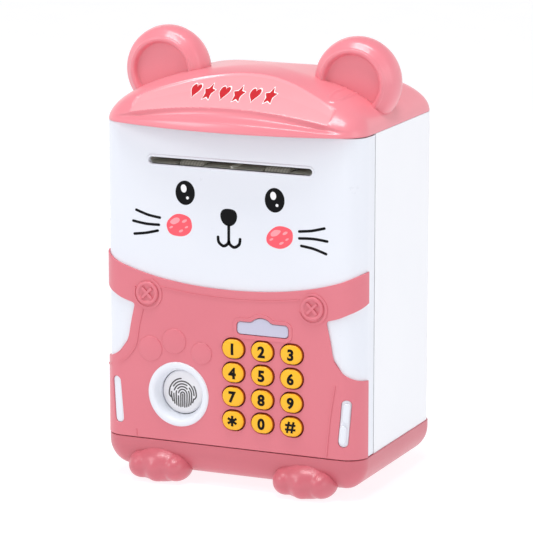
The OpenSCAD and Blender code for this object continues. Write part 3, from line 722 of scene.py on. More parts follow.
# %% Copy, merge and bevel
def soften(node, name, material, width, trim=0.0):
    """A finer copy of a node. trim draws its rearmost edge in, which widens the gap behind it."""
    mesh = nodes[node].data.copy()
    rear = corners(node)[1].y
    for vertex in mesh.vertices:
        if trim and vertex.co.y / MM > rear - 0.1:
            vertex.co.y = (rear - trim) * MM
    mesh.materials.clear()
    mesh.materials.append(material)
    work = bmesh.new()
    work.from_mesh(mesh)
    bmesh.ops.remove_doubles(work, verts=work.verts, dist=0.004 * MM)
    bmesh.ops.dissolve_limit(work, angle_limit=math.radians(0.6), verts=work.verts, edges=work.edges)
    work.to_mesh(mesh)
    work.free()
    obj = linked(name, mesh)
    bevel = obj.modifiers.new("moulded_edge", "BEVEL")
    bevel.width = width * MM
    bevel.segments = 2
    bevel.limit_method = "ANGLE"
    bevel.angle_limit = math.radians(35)
    bevel.use_clamp_overlap = True
    bevel.miter_outer = "MITER_ARC"
    finish_mesh(obj)
    return smooth(obj, 30)


GAP_TRIM = 0.4                        # widens the shadow line between the door and the case
place(soften("rear_shell", "case_wall", white_case, 0.2), "case", "white_shell", "rear_shell")
place(soften("door_shell", "door_front", white, 0.2, trim=GAP_TRIM), "door", "white_shell", "door_shell")
place(soften("door_back", "door_plate", white_case, 0.25), "door", "white_shell", "door_back")
place(soften("battery_box", "battery_tub", white_case, 0.25), "door", "white_shell", "battery_box")
place(soften("battery_cover", "battery_lid", white_case, 0.25), "battery_cover", "white_shell", "battery_cover")

# %% [markdown]
# ## A grey strip in the gap
# A grey strip is set on the case's front edge at the latch side, inside the gap. It is painted shade: it is what
# makes the gap read as a dark line. It is a plain bar with rounded edges.

# %% The strip on the latch side
STRIP_SINK, STRIP_W, STRIP_T = 0.3, 1.4, 0.35


# painted shade: a grey bar set into the gap to darken it
def make_gap_shade_strip():
    x1, y1 = half_w - STRIP_SINK, case_low.y
    x0, y0 = x1 - STRIP_W, y1 - STRIP_T
    ring = rounded([(x0, y1), (x0, y0), (x1, y0), (x1, y1)], 0.12, 3, closed=True)
    return solid("stop_strip", *skin([[(x, y, z) for x, y in ring] for z in (z_seam + 0.5, z_cap - 0.5)]),
                 grey_rubber)


place(smooth(make_gap_shade_strip(), 40), "case", "grey_rubber")

# %% [markdown]
# ## Laying flat shapes on the door
# The pink panel is a thin sheet that wraps round the door's upright corners. The easy way to make it is flat,
# as a cutting pattern: the outline with its holes, filled and given a rounded edge by Blender's own 2D
# curve. It is then bent round the corners. Sheet coordinates are (along the door, out from its face, up).
# The pocket inserts and every stroke on the door are drawn in them and bent in the same way.


# %% From a cutting pattern to the door
def along(x, out=panel_t):
    """Distance along the door's surface of a point that is x from its middle, seen from the front."""
    flat = half_w - corner_r
    if abs(x) <= flat:
        return x
    turn = math.asin(min((abs(x) - flat) / (corner_r + out), 1.0))
    return math.copysign(flat + corner_r * turn, x)


def wrap(mesh):
    """Bends a mesh from sheet coordinates, in metres, round the door."""
    flat, r = (half_w - corner_r) * MM, corner_r * MM
    for vertex in mesh.vertices:
        s, out, z = vertex.co.x, -vertex.co.y, vertex.co.z
        if abs(s) <= flat:
            vertex.co = (s, y_face * MM - out, z)
            continue
        turn = min((abs(s) - flat) / r, math.pi / 2)
        rest = max(abs(s) - flat - r * math.pi / 2, 0)
        x = flat + (r + out) * math.sin(turn)
        vertex.co = (math.copysign(x, s), y_face * MM + r - (r + out) * math.cos(turn) + rest, z)
    mesh.update()


def slit(mesh, lines):
    """Cuts a flat mesh along upright lines, so that it can bend there."""
    work = bmesh.new()
    work.from_mesh(mesh)
    for x in lines:
        every = work.verts[:] + work.edges[:] + work.faces[:]
        bmesh.ops.bisect_plane(work, geom=every, plane_co=(x * MM, 0, 0), plane_no=(1, 0, 0), dist=1e-8)
    work.to_mesh(mesh)
    work.free()


def area_of(loop):
    return sum(a[0] * b[1] - b[0] * a[1] for a, b in zip(loop, loop[1:] + loop[:1])) / 2


def curve_mesh(curve, material):
    """The plain mesh that a curve or a text makes."""
    maker = linked("maker", curve)
    mesh = evaluated(maker)
    bpy.data.objects.remove(maker)
    mesh.materials.clear()
    mesh.materials.append(material)
    return mesh


def flat_sheet(name, outline, holes, low, high, edge, material):
    """A sheet from out = low to out = high, with rounded edges, in sheet coordinates."""
    curve = bpy.data.curves.new(name, "CURVE")
    curve.dimensions = "2D"
    curve.fill_mode = "BOTH"
    for k, loop in enumerate([outline] + holes):
        if (area_of(loop) > 0) != (k == 0):
            loop = list(reversed(loop))
        spline = curve.splines.new("POLY")
        spline.points.add(len(loop) - 1)
        for point, (x, z) in zip(spline.points, loop):
            point.co = (x * MM, z * MM, 0, 1)
        spline.use_cyclic_u = True
    curve.extrude = ((high - low) / 2 - edge) * MM
    curve.bevel_depth = edge * MM
    curve.bevel_resolution = 2
    curve.offset = -edge * MM
    mesh = curve_mesh(curve, material)
    for vertex in mesh.vertices:
        x, z, out = vertex.co
        vertex.co = (x, -(out + (low + high) / 2 * MM), z)
    clean(mesh)
    return linked(name, mesh)


BEND_LINES = [side * (half_w - corner_r + corner_r * math.radians(turn))
              for side in (-1, 1) for turn in range(0, 91, 6)]

# %% The panel's outline and its openings
key_spots = {}
for name in KEYS:
    low, high = corners(name)
    key_spots[name] = ((low.x + high.x) / 2, (low.z + high.z) / 2)
key_w, key_h = 10.8, 9.0
bowl_low, bowl_high = corners("finger_bowl")
bowl_x, bowl_z = (bowl_low.x + bowl_high.x) / 2, (bowl_low.z + bowl_high.z) / 2
bowl_r = (bowl_high.x - bowl_low.x) / 2
lens_low, lens_high = corners("window_lens")
win_x = (lens_low.x + lens_high.x) / 2
win_z = lens_low.z + 3.5
panel_end = along(half_w + panel_t * 0.9)
KEY_GAP, PANEL_EDGE = 0.6, 0.3
NECK_UP, NECK_BOW, NECK_FLICK = 75.2, 0.0021, 1.86e-7    # height above the seam, and how it rises to the sides
WINDOW_W, WINDOW_H, WINDOW_BUMP = 25.8, 5.9, 6.6         # the bar, and the radius of the bump on it
POCKET_W, POCKET_H, POCKET_LEAN = 22.4, 4.6, 4.5         # length, width and lean in degrees
POCKET_IN, POCKET_UP = 7.4, 17.6                         # from the side wall, and above the seam


def neckline(x):
    return z_seam + NECK_UP + NECK_BOW * x * x + NECK_FLICK * x ** 4


def arm_hole():
    """The right sleeve's opening, from the top outside corner round to the bottom outside corner."""
    points = [(70, 73.2), (60.3, 69.2), (54.5, 66.5), (48.4, 64.8), (50.6, 55), (52.0, 46.5), (56.0, 41.0),
              (63.6, 37.4), (70, 36.4)]
    rounded_points = rounded(points, [0, 1, 3, 1.6, 3, 4, 4, 3, 0], 5)
    return [(along(min(x, half_w + panel_t * 0.95)), z + z_seam) for x, z in rounded_points]


def panel_outline():
    arm = [(min(s, panel_end), z) for s, z in arm_hole() if s < panel_end + 2]
    right = [(panel_end, z_seam + 0.4)] + list(reversed(arm))
    left = [(-s, z) for s, z in reversed(right)]
    reach = half_w + 0.95
    neck = [(min(max(along(x), -panel_end), panel_end), neckline(x))
            for x in (reach - reach * 2 * k / 80 for k in range(81))]
    return right + neck + left


def window_outline(grow):
    """A bar with round corners and a low round bump on its top edge."""
    w, h, bump = WINDOW_W + 2 * grow, WINDOW_H + 2 * grow, WINDOW_BUMP + grow
    middle, centre_x, centre_z = win_x - 0.6, win_x - 1.2, win_z + 0.1
    x0, x1, z0, z1 = middle - w / 2, middle + w / 2, win_z + 1.4 - h / 2, win_z + 1.4 + h / 2
    reach = math.sqrt(bump ** 2 - (z1 - centre_z) ** 2)
    start = math.degrees(math.atan2(z1 - centre_z, reach))
    r = 1.9 + grow * 0.8
    points = arc(x0 + r, z1 - r, r, 90, 180, 8) + arc(x0 + r, z0 + r, r, 180, 270, 8)
    points += arc(x1 - r, z0 + r, r, 270, 360, 8) + arc(x1 - r, z1 - r, r, 0, 90, 8)
    side = arc(centre_x, centre_z, bump, start + 16, 164 - start, 20)
    points += fillet((centre_x + reach, z1), (centre_x + reach + 2.0, z1), side[0], 1.3, 6) + side
    points += fillet((centre_x - reach, z1), side[-1], (centre_x - reach - 2.0, z1), 1.3, 6)
    return points


def in_pocket(side, points):
    """Points drawn along and across a pocket, moved to its place: it leans a little outwards."""
    turn = math.radians(90 - side * POCKET_LEAN)
    c, s = math.cos(turn), math.sin(turn)
    middle_x, middle_z = side * (half_w - POCKET_IN), z_seam + POCKET_UP
    return [(middle_x + x * c - z * s, middle_z + x * s + z * c) for x, z in points]


def pocket_outline(side, grow=0.0):
    return in_pocket(side, oval(0, 0, POCKET_W + 2 * grow, POCKET_H + 2 * grow))


# %% Fill, bend and finish the panel
def make_panel():
    holes = [oval(x, z, key_w + 2 * KEY_GAP, key_h + 2 * KEY_GAP) for x, z in key_spots.values()]
    holes += [window_outline(0.15), circle(bowl_x, bowl_z, bowl_r - 1.0, 64)]
    holes += [pocket_outline(side) for side in (-1, 1)]
    obj = flat_sheet("belly", panel_outline(), holes, 0.02, panel_t, PANEL_EDGE, pink)
    slit(obj.data, BEND_LINES)
    wrap(obj.data)
    return smooth(obj, 30)


place(make_panel(), "door", "pink_shell", "belly_panel")

# %% [markdown]
# ## Lines drawn with geometry nodes
# Seams, whiskers, the mouth, the thread on the buttons and the ridges of the fingerprint are all the same
# thing: a path with a thickness. One node tree makes them. It turns the edges of a mesh into curves, keeps
# their normals square to the door, sweeps a rectangle along them and puts a round end on each.


# %% The line tree
def build_line_tree():
    tree = bpy.data.node_groups.new("line_on_a_face", "GeometryNodeTree")
    face = tree.interface
    face.new_socket("Geometry", in_out="INPUT", socket_type="NodeSocketGeometry")
    for label, value in (("Width", 0.001), ("Depth", 0.0002), ("Ends", 1.0)):
        face.new_socket(label, in_out="INPUT", socket_type="NodeSocketFloat").default_value = value
    face.new_socket("Material", in_out="INPUT", socket_type="NodeSocketMaterial")
    face.new_socket("Geometry", in_out="OUTPUT", socket_type="NodeSocketGeometry")
    new, link = tree.nodes.new, tree.links.new
    start, end = new("NodeGroupInput"), new("NodeGroupOutput")
    width, depth = start.outputs["Width"], start.outputs["Depth"]
    path = fill(tree, new("GeometryNodeMeshToCurve"), Mesh=start.outputs["Geometry"])
    upright = new("GeometryNodeSetCurveNormal")
    upright.mode = "FREE"
    fill(tree, upright, Curve=path.outputs[0], Normal=(0, 1, 0))
    bar = fill(tree, new("GeometryNodeCurvePrimitiveQuadrilateral"), Height=width, Width=depth)
    sweep = fill(tree, new("GeometryNodeCurveToMesh"), Curve=upright.outputs[0], Profile_Curve=bar.outputs[0],
                 Fill_Caps=True)
    end_r = math_node(tree, "MULTIPLY", math_node(tree, "MULTIPLY", width, 0.5), start.outputs["Ends"])
    disc = fill(tree, new("GeometryNodeMeshCylinder"), Vertices=20, Radius=end_r,
                Depth=math_node(tree, "MULTIPLY", depth, 0.96))
    turn = fill(tree, new("GeometryNodeTransform"), Geometry=disc.outputs["Mesh"], Rotation=(math.pi / 2, 0, 0))
    tips = new("GeometryNodeCurveEndpointSelection")
    put = fill(tree, new("GeometryNodeInstanceOnPoints"), Points=upright.outputs[0], Selection=tips.outputs[0],
               Instance=turn.outputs[0])
    both = new("GeometryNodeJoinGeometry")
    link(sweep.outputs[0], both.inputs[0])
    link(put.outputs[0], both.inputs[0])
    real = fill(tree, new("GeometryNodeRealizeInstances"), Geometry=both.outputs[0])
    paint = fill(tree, new("GeometryNodeSetMaterial"), Geometry=real.outputs[0],
                 Material=start.outputs["Material"])
    fill(tree, end, Geometry=paint.outputs[0])
    return tree


line_tree = build_line_tree()
print("line tree:", len(line_tree.nodes), "nodes")


# %% Grow lines from paths
def run_tree(obj, tree, **values):
    """Puts a node tree on an object, sets its named inputs and keeps the result as a plain mesh."""
    modifier = obj.modifiers.new("tree", "NODES")
    modifier.node_group = tree
    for item in tree.interface.items_tree:
        label = item.name.replace(" ", "_")
        if item.in_out == "INPUT" and label in values:
            modifier[item.identifier] = values[label]
    return finish_mesh(obj)


def lines(name, paths, width, depth, out, material, ends=1.0, bent=True):
    """Strokes along paths of (along, up) points in mm, that stand out from `out` by `depth`."""
    points, edges = [], []
    for path in paths:
        first = len(points)
        points += [(x, -(out + depth / 2), z) for x, z in path]
        edges += [(first + k, first + k + 1) for k in range(len(path) - 1)]
    mesh = bpy.data.meshes.new(name)
    mesh.from_pydata([tuple(c * MM for c in p) for p in points], edges, [])
    obj = linked(name, mesh)
    run_tree(obj, line_tree, Width=width * MM, Depth=depth * MM, Ends=ends, Material=material)
    obj.data.materials.clear()
    obj.data.materials.append(material)
    clean(obj.data, 0.0005)
    if bent:
        wrap(obj.data)
    return obj


def join(name, *objects):
    """One object from several, each with its own materials."""
    work, materials = bmesh.new(), []
    for obj in objects:
        shift = len(materials)
        materials += list(obj.data.materials)
        first = len(work.faces)
        work.from_mesh(obj.data)
        work.faces.ensure_lookup_table()
        for face in work.faces[first:]:
            face.material_index += shift
    mesh = bpy.data.meshes.new(name)
    for material in materials:
        mesh.materials.append(material)
    work.to_mesh(mesh)
    work.free()
    for obj in objects:
        bpy.data.objects.remove(obj)
    return linked(name, mesh)


def curve_through(points, steps=8):
    """A smooth path through a few points."""
    made = []
    for k in range(len(points) - 1):
        p0 = Vector(points[max(k - 1, 0)])
        p1, p2 = Vector(points[k]), Vector(points[k + 1])
        p3 = Vector(points[min(k + 2, len(points) - 1)])
        for n in range(steps):
            t = n / steps
            made.append(tuple(0.5 * (2 * p1 + (p2 - p0) * t + (2 * p0 - 5 * p1 + 4 * p2 - p3) * t * t
                                     + (3 * p1 - p0 - 3 * p2 + p3) * t ** 3)))
    return made + [tuple(points[-1])]


# %% [markdown]
# ## The face
# The face is printed on the door: ink is thin but it isn't flat paint, so every mark is a sheet a few
# hundredths of a millimetre thick. The eyes are ovals with two glints, the cheeks are blots with an
# uneven rim and a brushed highlight, and the rest are strokes of the line tree.

# %% Eyes, nose and cheeks
EYES = ((-22.5, 139.0), (22.5, 139.0))
NOSE = (-0.5, 129.2)
CHEEKS = ((-25.5, 123.5), (25.1, 121.9))
INK = 0.05                            # thickness of the print


def ellipse(x, z, w, h, turn=0.0, steps=56):
    c, s = math.cos(math.radians(turn)), math.sin(math.radians(turn))
    made = []
    for k in range(steps):
        a = 2 * math.pi * k / steps
        u, v = w / 2 * math.cos(a), h / 2 * math.sin(a)
        made.append((x + u * c - v * s, z + u * s + v * c))
    return made


def decal(name, outline, level, material):
    """A printed patch on the plain door, in layer number `level`."""
    low = 0.01 + level * INK
    if area_of(outline) < 0:
        outline = list(reversed(outline))
    count = len(outline)
    points = [(x, y_face - d, z) for d in (low - 0.03, low + INK) for x, z in outline]
    faces = [tuple(range(count)), tuple(reversed(range(count, 2 * count)))]
    faces += [(k, k + count, (k + 1) % count + count, (k + 1) % count) for k in range(count)]
    return solid(name, points, faces, material)


def blot(x, z, w, h, turn, seed, uneven=0.05):
    """An oval with a slightly uneven, hand-drawn rim."""
    rng = np.random.default_rng(seed)
    phase, size = rng.uniform(0, 6.28, 5), rng.uniform(0.4, 1.0, 5)
    base = ellipse(0, 0, w, h, turn, 72)
    made = []
    for k, (u, v) in enumerate(base):
        a = 2 * math.pi * k / len(base)
        r = 1 + uneven * sum(size[n] * math.sin((n + 2) * a + phase[n]) / (n + 2) for n in range(5))
        made.append((x + u * r, z + v * r))
    return made


def nose_outline():
    x, z = NOSE
    points = [(-4.2, 1.2), (-2.9, 3.4), (0, 4.0), (2.9, 3.4), (4.2, 1.2), (3.6, -1.8), (1.5, -3.8), (-1.5, -3.8),
              (-3.6, -1.8)]
    closed = curve_through(points + points[:3], 7)
    return [(x + u, z + v) for u, v in closed[7:7 * (len(points) + 1)]]


marks = []
for x, z in EYES:
    marks.append(decal("eye", ellipse(x, z, 9.8, 11.4), 0, black_ink))
    marks.append(decal("glint", ellipse(x - 0.7, z + 2.0, 2.9, 3.8, 8), 1, white_ink))
    marks.append(decal("glint", ellipse(x + 1.2, z - 2.3, 1.4, 1.4), 1, white_ink))
marks.append(decal("nose", nose_outline(), 0, black_ink))
for k, (x, z) in enumerate(CHEEKS):
    marks.append(decal("cheek", blot(x, z, 13.6, 10.2, 14, 40 + k, 0.07), 0, coral_ink))
    marks.append(decal("sheen", blot(x - 2.2, z + 1.9, 5.4, 2.6, 24, 50 + k, 0.12), 1, blush_ink))
    for n, (u, v, w) in enumerate(((2.6, 2.2, 1.6), (3.6, -0.6, 1.1), (-4.2, -1.2, 1.2), (0.8, -2.6, 1.4))):
        marks.append(decal("sheen", blot(x + u, z + v, w * 1.7, w * 0.8, 28, 60 + 5 * k + n), 1, blush_ink))

# %% Whiskers and mouth
WHISKERS = [[(-47.6, 129.1), (-41.5, 127.2), (-35.5, 126.3)], [(-49.2, 123.8), (-42.6, 122.9), (-36.0, 122.9)],
            [(-48.6, 117.7), (-42.6, 118.6), (-36.6, 120.1)], [(34.7, 125.5), (40.9, 126.3), (47.1, 127.9)],
            [(34.7, 122.3), (41.6, 122.6), (48.5, 122.0)], [(35.7, 118.9), (41.8, 118.0), (48.0, 116.1)]]
mouth = [[(NOSE[0], NOSE[1] - 3.4), (NOSE[0], 117.4)],
         curve_through([(-5.9, 119.6), (-5.5, 117.2), (-3.2, 115.6), (-1.0, 116.8), (-0.5, 118.4)]),
         curve_through([(-0.5, 118.4), (0.1, 116.6), (2.3, 115.4), (4.7, 116.9), (5.2, 119.4)])]
marks.append(lines("whiskers", [curve_through(w) for w in WHISKERS], 1.25, INK + 0.03, -0.02, black_ink))
marks.append(lines("mouth", mouth, 1.4, INK + 0.03, -0.02, black_ink))
face_print = join("face_print", *marks)
face_print.data.shade_flat()
place(face_print, "door", "speaker_black")

# %% [markdown]
# ## The note slot
# Banknotes go in under the visor. The slot in the door is plain, and the real one has a soft lip round
# it. The lip is a ring lofted round a long oval.

# %% The slot's lip
SLOT = (0.0, 153.2, 82.0, 3.2)        # middle across, middle up, width and height


def make_lip():
    x, z, w, h = SLOT
    rings = []
    for grow, out in ((0.0, -2.0), (0.0, 0.0), (0.15, 0.28), (0.5, 0.42), (0.95, 0.3), (1.3, 0.05), (1.35, -0.2),
                      (0.4, -2.0)):
        rings.append([(px, y_face - out, pz) for px, pz in oval(x, z, w + 2 * grow, h + 2 * grow, 10)])
    return smooth(solid("slot_lip", *skin(rings, loop=True), white), 50, weighted=False)


place(make_lip(), "door", "white_shell")

# %% [markdown]
# ## Straps, buttons, discs and seams
# The panel imitates dungarees. The buttons are dished discs with a crossed thread, the strap ends are
# raised rings behind them, and a stitched line follows the neck and the left sleeve. Three flat discs sit
# above the bowl.


# %% Buttons
BUTTON_R, THREAD, STRAP_R = 5.6, 2.1, 6.9     # radius, half the thread's spread, and radius of the strap's end


def make_button(node, strap_start):
    low, high = corners(node)
    x, z, r = (low.x + high.x) / 2, (low.z + high.z) / 2, BUTTON_R
    profile = [(0, -0.55), (3.4, -0.55), (3.75, -0.75), (4.1, -1.15), (4.5, -1.4), (4.9, -1.4), (5.3, -1.15),
               (r, -0.7), (r, 0.6), (0, 0.6)]
    disc = lathe("disc", profile, (x, y_panel, z), 64, pink)
    over, under = [[(x - THREAD, z - way * THREAD), (x + THREAD, z + way * THREAD)] for way in (1, -1)]
    cross = join("cross", lines("over", [over], 1.25, 0.8, panel_t + 0.45, pink),
                 lines("under", [under], 1.25, 0.7, panel_t + 0.45, pink))
    smooth(cross, 60, weighted=False)
    strap = arc(x, z - 0.3, STRAP_R, strap_start, strap_start + 270, 40)
    band = lines("band", [strap], 1.2, 0.75, panel_t - 0.35, pink, ends=0.98)
    smooth(band, 60, weighted=False)
    made = join(node + "_piece", disc, cross, band)
    return place(made, "door", "pink_shell", node)


make_button("strap_button_left", -200)
make_button("strap_button_right", -160)


# %% Discs, stitched lines and creases
def flat_disc(x, z, r):
    profile = [(0, -0.5), (r - 0.5, -0.5), (r - 0.15, -0.35), (r, -0.1), (r, 0.4), (0, 0.4)]
    return lathe("toe", profile, (x, y_panel, z), 56, pink)


toes = join("toe_discs", flat_disc(-40.3, 63.9, 6.0), flat_disc(-28.0, 68.5, 6.0), flat_disc(-14.0, 64.0, 5.2))
place(toes, "door", "pink_shell")

relief = [[(along(x), neckline(x) - 4.2) for x in (-35 + 70 * k / 60 for k in range(61))]]
sleeve = [(along(-x), z + z_seam) for x, z in
          rounded([(44.2, 62.0), (46.2, 54.5), (47.6, 44.6), (53.0, 37.2), (63.4, 33.2), (70, 32.4)],
                  [0, 2, 3, 4, 2, 0], 6)]
relief.append([(s, z) for s, z in sleeve if abs(s) < abs(panel_end) - 0.5])
relief.append(curve_through([(53.0, 55.0), (50.6, 39.5), (48.8, 20.8)]))
relief.append([(-48.0, 24.0), (-48.0, 20.8)])
ridges = lines("stitch_lines", relief, 0.6, 0.45, panel_t - 0.12, pink)
smooth(ridges, 60, weighted=False)
place(ridges, "door", "pink_shell")

# %% [markdown]
# ## The finger bowl and its pad
# The bowl is a white ring with a cone that leads down to a round button. Both are turned shapes. The ridges
# of the fingerprint are arcs from the line tree, broken at random places with a fixed seed.

# %% Turn the bowl
pad_low, pad_high = corners("finger_pad")
pad_r = (pad_high.x - pad_low.x) / 2


def make_bowl():
    r, back = bowl_r, bowl_high.y - bowl_low.y
    gap = pad_r + 0.25
    profile = [(gap, back), (gap, 4.9), (gap + 0.15, 4.55), (gap + 0.4, 4.4), (r - 3.35, 1.0), (r - 3.0, 0.45),
               (r - 2.5, 0.1), (r - 1.9, 0.0), (r - 1.1, 0.0), (r - 0.5, 0.15), (r - 0.15, 0.5), (r, 0.95), (r, 1.9),
               (r - 1.15, 1.9), (r - 1.15, back)]
    return lathe("bowl", profile, (bowl_x, bowl_low.y, bowl_z), 128, white, loop=True)


place(make_bowl(), "door", "white_shell", "finger_bowl")


def make_pad():
    depth = pad_high.y - pad_low.y
    profile = [(0, 0.0), (pad_r * 0.5, 0.03), (pad_r - 1.2, 0.12), (pad_r - 0.5, 0.3), (pad_r - 0.12, 0.7),
               (pad_r, 1.2), (pad_r, depth), (0, depth)]
    return lathe("pad", profile, (bowl_x, pad_low.y, bowl_z), 96, pad_white)


place(make_pad(), "finger_pad", "pad_white", "finger_pad")


# %% Fingerprint
PRINT_W, PRINT_H = 7.6, 7.2           # half the print's width, and how far it reaches below the pad's middle
RIDGE_STEP = 1.3                      # from one ridge to the next
SQUEEZE = 0.92                        # how much narrower a ridge is than a half ring


def ridge(r):
    return [(bowl_x + u * SQUEEZE, bowl_z - 1.1 + v) for u, v in arc(0, 0, r, 0, 180, 26)]


def with_legs(path, lean):
    """Carries an arc's two ends down to the oval edge of the print, leaning in a little."""
    made = list(path)
    for end, way in ((path[0], -1), (path[-1], 1)):
        reach = abs(end[0] - bowl_x)
        foot = bowl_z - PRINT_H * math.sqrt(max(1 - (reach / PRINT_W) ** 2, 0.02))
        extra = [(end[0] + way * lean * (k / 6) ** 2, end[1] + (foot - end[1]) * k / 6) for k in range(1, 7)]
        made = list(reversed(extra)) + made if way < 0 else made + extra
    return made


def print_ridges():
    rng = np.random.default_rng(7)
    paths = []
    for k in range(6):
        path = with_legs(ridge(1.1 + RIDGE_STEP * k), 0.18 * k)
        cuts = sorted(rng.uniform(0.12, 0.88, 1 + k // 2))
        first, count = 0, len(path)
        for share in cuts:
            stop = int(share * count)
            if stop - first > 3:
                paths.append(path[first:stop])
            first = stop + 2
        if count - first > 3:
            paths.append(path[first:])
    paths.append([(bowl_x, bowl_z - 1.0), (bowl_x, bowl_z - 6.9)])
    return paths


def pad_lines():
    """The ridges, laid on the pad's own slightly domed front."""
    obj = lines("fingerprint", print_ridges(), 0.62, 0.1, 0.0, grey_rubber, bent=False)
    for vertex in obj.data.vertices:
        share = math.hypot(vertex.co.x / MM - bowl_x, vertex.co.z / MM - bowl_z) / pad_r
        vertex.co.y += (pad_low.y + 0.03 + 0.12 * share ** 3) * MM
    return obj


place(pad_lines(), "finger_pad", "grey_rubber")

# %% [markdown]
# ## The keypad
# Twelve keys of one shape: an oval that rises straight, turns over a rounded shoulder and ends in a shallow
# dome. The upright sides are a dark orange, which is painted shade. The digits are Blender text made
# into a mesh, laid on the dome and given a little thickness.

# %% One key
KEY_CROWN = 0.55                      # how much the dome rises above its shoulder
DIGIT_H = 5.5                         # height of a digit
DIGIT_T = 0.12                        # thickness of its print
FONT_SIZE, FONT_WEIGHT = 7.8, 0.32    # the text is drawn at this size, made bolder by the weight


def key_ring(x, z, inset, out):
    return [(px, y_panel - out, pz) for px, pz in oval(x, z, key_w - 2 * inset, key_h - 2 * inset, 20)]


def key_top(u, v, height):
    """How far the key's front stands out at a point (u, v) from its middle."""
    reach = math.hypot(u / (key_w / 2), v / (key_h / 2))
    return height - KEY_CROWN * min(reach, 1.0) ** 2.2


def make_key(node, x, z):
    low, high = corners(node)
    height = y_panel - low.y
    depth = high.y - low.y
    rings = [key_ring(x, z, 0.0, height - depth), key_ring(x, z, 0.0, height - 1.25)]
    for inset, drop in ((0.05, 1.0), (0.2, 0.78), (0.45, 0.6)):
        rings.append(key_ring(x, z, inset, height - drop))
    for share in (0.85, 0.7, 0.55, 0.4, 0.25, 0.12):
        inset = (1 - share) * key_h / 2
        rings.append(key_ring(x, z, inset, height - KEY_CROWN * share ** 2.2))
    obj = solid(node + "_cap", *skin(rings), yellow, key_side)
    # painted shade: the key's upright sides take the dark orange
    for face in obj.data.polygons:
        if abs(face.normal.y) < 0.35:
            face.material_index = 1
    return smooth(obj, 40, weighted=False)


# %% Digits
def digit_mesh(digit, thick):
    """A digit as a flat mesh about its own middle, and its height in mm."""
    curve = bpy.data.curves.new("text", "FONT")
    curve.body = digit
    curve.size = FONT_SIZE * MM
    curve.align_x, curve.align_y = "CENTER", "CENTER"
    curve.extrude = thick / 2 * MM
    curve.offset = FONT_WEIGHT * MM
    curve.resolution_u = 5
    mesh = curve_mesh(curve, black_ink)
    xs = [v.co.x for v in mesh.vertices]
    ys = [v.co.y for v in mesh.vertices]
    middle = Vector(((min(xs) + max(xs)) / 2, (min(ys) + max(ys)) / 2, 0))
    for vertex in mesh.vertices:
        vertex.co -= middle
    return mesh, (max(ys) - min(ys)) / MM


def grid_cut(mesh, spacing):
    """Cuts a flat mesh into squares, so that it can follow a dome."""
    work = bmesh.new()
    work.from_mesh(mesh)
    bmesh.ops.triangulate(work, faces=work.faces)
    for axis in ((1, 0, 0), (0, 1, 0)):
        for k in range(-6, 6):
            spot = Vector(axis) * (k + 0.5) * spacing * MM
            every = work.verts[:] + work.edges[:] + work.faces[:]
            bmesh.ops.bisect_plane(work, geom=every, plane_co=spot, plane_no=axis, dist=1e-7)
    work.to_mesh(mesh)
    work.free()


def star_strokes(x, z, r):
    made = []
    for turn in (90, 30, 150):
        u, v = r * math.cos(math.radians(turn)), r * math.sin(math.radians(turn))
        made.append([(x - u, z - v), (x + u, z + v)])
    return made


def densely(path, steps=10):
    (x0, z0), (x1, z1) = path
    return [(x0 + (x1 - x0) * k / steps, z0 + (z1 - z0) * k / steps) for k in range(steps + 1)]


def hash_strokes(x, z, w, h):
    made = []
    for k in (-1, 1):
        made.append([(x + k * w * 0.22 - w * 0.1, z - h / 2), (x + k * w * 0.22 + w * 0.1, z + h / 2)])
        made.append([(x - w / 2, z + k * h * 0.2), (x + w / 2, z + k * h * 0.2)])
    return [densely(path) for path in made]


def make_digit(node, x, z):
    height = y_panel - corners(node)[0].y
    label = node.split("_")[1]
    strokes = {"star": (star_strokes(x, z, 2.5), 1.15), "hash": (hash_strokes(x, z, 5.2, 5.4), 0.95)}
    if label in strokes:
        paths, width = strokes[label]
        obj = lines(node + "_mark", paths, width, DIGIT_T, 0, black_ink, ends=0.0, bent=False)
    else:
        mesh, tall = digit_mesh(label, DIGIT_T)
        grid_cut(mesh, 0.8)
        stretch = DIGIT_H / tall
        for vertex in mesh.vertices:
            u, v, t = vertex.co
            vertex.co = (u * stretch + x * MM, -t, v * stretch + z * MM)
        obj = linked(node + "_mark", mesh)
        clean(mesh, 0.0005)
    for vertex in obj.data.vertices:
        u, v = vertex.co.x / MM - x, vertex.co.z / MM - z
        vertex.co.y -= (key_top(u, v, height) - y_panel + 0.04) * MM
    return obj


for name, (x, z) in key_spots.items():
    place(make_key(name, x, z), name, "key_yellow", name)
    mark = make_digit(name, x, z)
    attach(mark, name)
print("keys:", len(key_spots))

# %% [markdown]
# ## Window and pockets
# The lilac window above the keys is a flat lens in a raised frame. The two pockets are slots in the panel
# through which a white moulding shows, and the right one has two little bars in it.


# %% Lens and its frame
def outline_solid(name, rings, *materials, **options):
    made = [[(x, y_face - out, z) for x, z in outline] for outline, out in rings]
    return solid(name, *skin(made, **options), *materials)


lens_out = y_face - lens_low.y
lens_piece = outline_solid("window", [(window_outline(-0.1), y_face - lens_high.y),
                                      (window_outline(-0.1), lens_out - 0.2), (window_outline(-0.3), lens_out)], lens)
place(smooth(lens_piece, 40), "door", "lens_lilac", "window_lens")
rim = outline_solid("window_rim", [(window_outline(0.3), panel_t - 0.3), (window_outline(0.3), panel_t + 0.1),
                                   (window_outline(0.3), panel_t + 0.15), (window_outline(1.4), panel_t + 0.2),
                                   (window_outline(1.9), panel_t + 0.35), (window_outline(2.2), panel_t - 0.3)],
                    pink, loop=True)
place(smooth(rim, 50, weighted=False), "door", "pink_shell")


